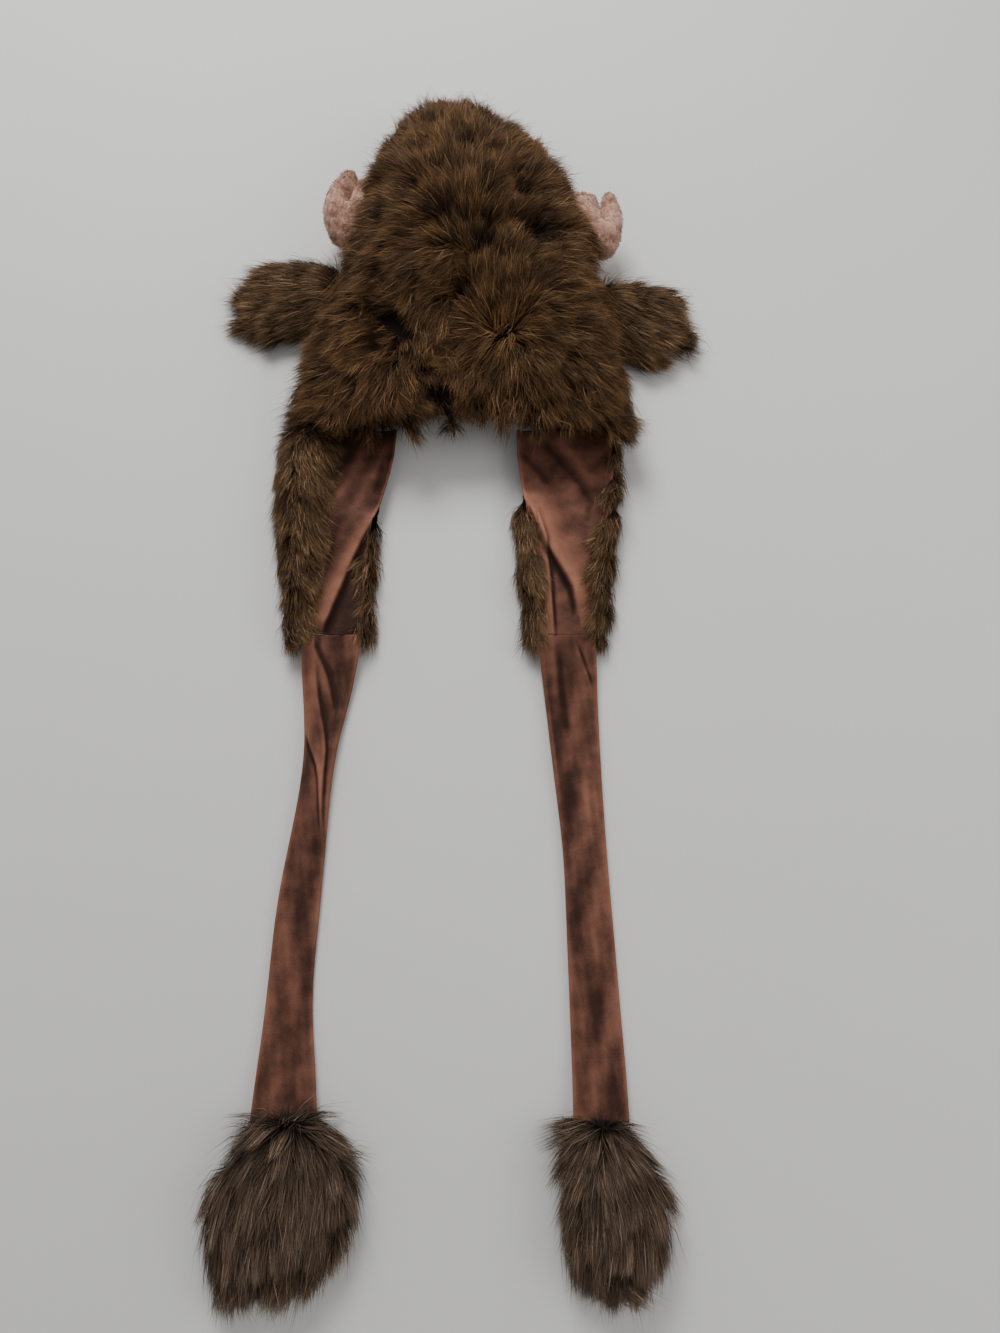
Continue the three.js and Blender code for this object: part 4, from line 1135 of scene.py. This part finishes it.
# %% Ears
ear_coat = dict(
    plain_coat, count=12000, length=27 * mm, rise=0.5, lie=-0.05, stray=0.12, curl=0.12,
    gather=0.35, lock_hairs=26, valley=0.2, sway=0.1,
)
ear_turns = {"left": math.radians(183), "right": math.radians(-20)}
ear_ways = {side: (math.cos(turn), math.sin(turn), 0) for side, turn in ear_turns.items()}
ear_roots = {"left": on_crown(0, 33), "right": on_crown(100, 33)}


def ear_comb(side):
    """Outwards along the ear, and a little away from its middle line."""
    low, high = (np.array(corner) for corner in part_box("ear_" + side))
    way = np.array(ear_ways[side][:2])
    across = np.array([-way[1], way[0]])
    middle = ((low + high) / 2)[:2]

    def comb(points):
        off = (points[:, :2] - middle) @ across / (40 * mm)
        flat = way[None] + 0.35 * off[:, None] * across[None]
        return np.column_stack([flat, np.full(len(points), -0.25)])

    return comb


for number, side in enumerate(sides):
    backing = fur_body(
        "ear_" + side, "ear_backing_" + side, grain=4 * mm, rounds=70, depth=2 * mm, wall_share=0.15,
    )
    evened(backing, ear_ways[side], reach=18 * mm, inset=3 * mm)
    drawn_in(backing, (*ear_roots[side], 0), ear_ways[side], share=0.82)
    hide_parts("ear_" + side)
    fur = grown(
        "ear_fur_coat_" + side, backing, ear_coat, ear_comb(side), warm_fur, 300 + number,
        bare=[(lining_tree, 6 * mm)],
    )
    for piece in (backing, fur):
        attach(piece, "root")

# %% Paws
paw_coat = dict(
    plain_coat, count=22000, length=34 * mm, rise=0.55, lie=-0.03, stray=0.09, curl=0.1,
    loose=0.05, gather=0.55, lock_hairs=40, valley=0.4,
)


def paw_comb(side):
    """Straight down, a little outwards at the sides, and up and out at the cut edge."""
    low, high = (np.array(corner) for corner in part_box("paw_" + side))
    middle = (low[0] + high[0]) / 2
    half = (high[0] - low[0]) / 2

    def comb(points):
        off = (points[:, 0] - middle) / half
        top = np.clip((points[:, 1] - high[1] + 22 * mm) / (14 * mm), 0, 1)
        down_it = np.clip((high[1] - points[:, 1]) / (high[1] - low[1]), 0, 1)
        sideways = 0.22 * off * (1 - 2.6 * down_it) + 0.75 * off * top
        down = -1 + 0.45 * top
        return np.column_stack([sideways, down, np.full(len(points), -0.2)])

    return comb


def narrowed(piece, share):
    """Rounds off the far end of a paw's body, seen from above."""
    points = points_of(piece)
    high, low = points[:, 1].max(), points[:, 1].min()
    far = np.clip(((high - points[:, 1]) / (high - low) - 0.5) / 0.5, 0, 1)
    middle = (points[:, 0].max() + points[:, 0].min()) / 2
    points[:, 0] = middle + (points[:, 0] - middle) * (1 - share * far**2)
    moved_to(piece, points)


for number, side in enumerate(sides):
    backing = fur_body(
        "paw_" + side, "paw_backing_" + side, grain=4 * mm, rounds=60, depth=4 * mm, wall_share=0.25,
    )
    drawn_in(backing, (0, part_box("paw_" + side)[1].y, 0), (0, -1, 0), share=0.9)
    evened(backing, (0, -1, 0), reach=22 * mm, inset=2 * mm)
    evened(backing, (1, 0, 0), reach=22 * mm, inset=1 * mm)
    narrowed(backing, share=0.26)
    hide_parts("paw_" + side)
    fur = grown(
        "paw_fur_coat_" + side, backing, paw_coat, paw_comb(side), cool_fur, 400 + number,
        bare=[(velvet_tree, 2 * mm)],
    )
    for piece in (backing, fur):
        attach(piece, "root")

# %% [markdown]
# ## The horns
#
# A horn is a stuffed tube of short fleece. It keeps the form of its node, softened, with small
# lumps of stuffing and a fuzz of very short hairs. The lumps get painted light and shade, lighter
# where they rise. The left one is darker and has a patch of painted shade where the inner side of
# its tip lies in shadow.

# %% Horns
horn_tones = {"left": 0.42, "right": 0.58}
horn_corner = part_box("horn_left")[1]
shaded_place = (horn_corner.x - 5 * mm, horn_corner.y - 12 * mm)
shaded_reach = (6 * mm, 8 * mm)
fuzz_coat = dict(
    count=4000, length=3.4 * mm, width=0.34 * mm, rise=0.9, lie=0.3, stray=0.8, curl=0.4,
    loose=0.1, gather=0.35, lock_hairs=12, valley=0, sway=0.3,
)


def fuzz_comb(points):
    """Down the picture, all over."""
    return np.tile((0, -1.0, 0), (len(points), 1))


for number, side in enumerate(sides):
    horn = softened("horn_" + side, "fleece_horn_" + side, grain=1.8 * mm, rounds=4)
    points = points_of(horn)
    normals = np.array([vertex.normal for vertex in horn.data.vertices])
    lumps = 0.45 * mm * waves(points, 14 * mm, 21 + number) + 0.25 * mm * waves(points, 5 * mm, 31)
    points += normals * lumps[:, None]
    moved_to(horn, points)
    # Painted light and shade: the lumps are lighter where they rise and darker where they sink.
    tone = horn_tones[side] + lumps / (2.4 * mm)
    # Painted shade on the inner side of the left horn's tip.
    if side == "left":
        off = (points[:, :2] - shaded_place) / shaded_reach
        tone -= 0.6 * np.exp(-np.sum(off**2, axis=1))
    written(horn, "fold", tone)
    dressed(horn, horn_fleece)
    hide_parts("horn_" + side)
    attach(horn, "root")
    fuzz = grown("horn_fuzz_" + side, horn, fuzz_coat, fuzz_comb, fuzz_material, 500 + number)
    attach(fuzz, "root")

# %% [markdown]
# ## The crown's lining
#
# The lining is seen through the mouth of the hood. Its node has the right form, so a smoother
# copy takes its place.

# %% Lining of the crown
lining = plain_copy("crown_lining", "crown_lining_cloth")
finished_with(lining, "SUBSURF", levels=1, render_levels=1)
written(lining, "fold", 0.4 + 0.2 * waves(points_of(lining), 40 * mm, 41))
dressed(lining, lining_cloth)
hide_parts("crown_lining")
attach(lining, "root")

# %% [markdown]
# ## Close
#
# The number of triangles of each piece and of all pieces is printed.

# %% Triangle counts
count = 0
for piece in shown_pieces():
    piece.data.calc_loop_triangles()
    count += len(piece.data.loop_triangles)
    print(piece.name, "has", len(piece.data.loop_triangles), "triangles")
print("all pieces have", count, "triangles")
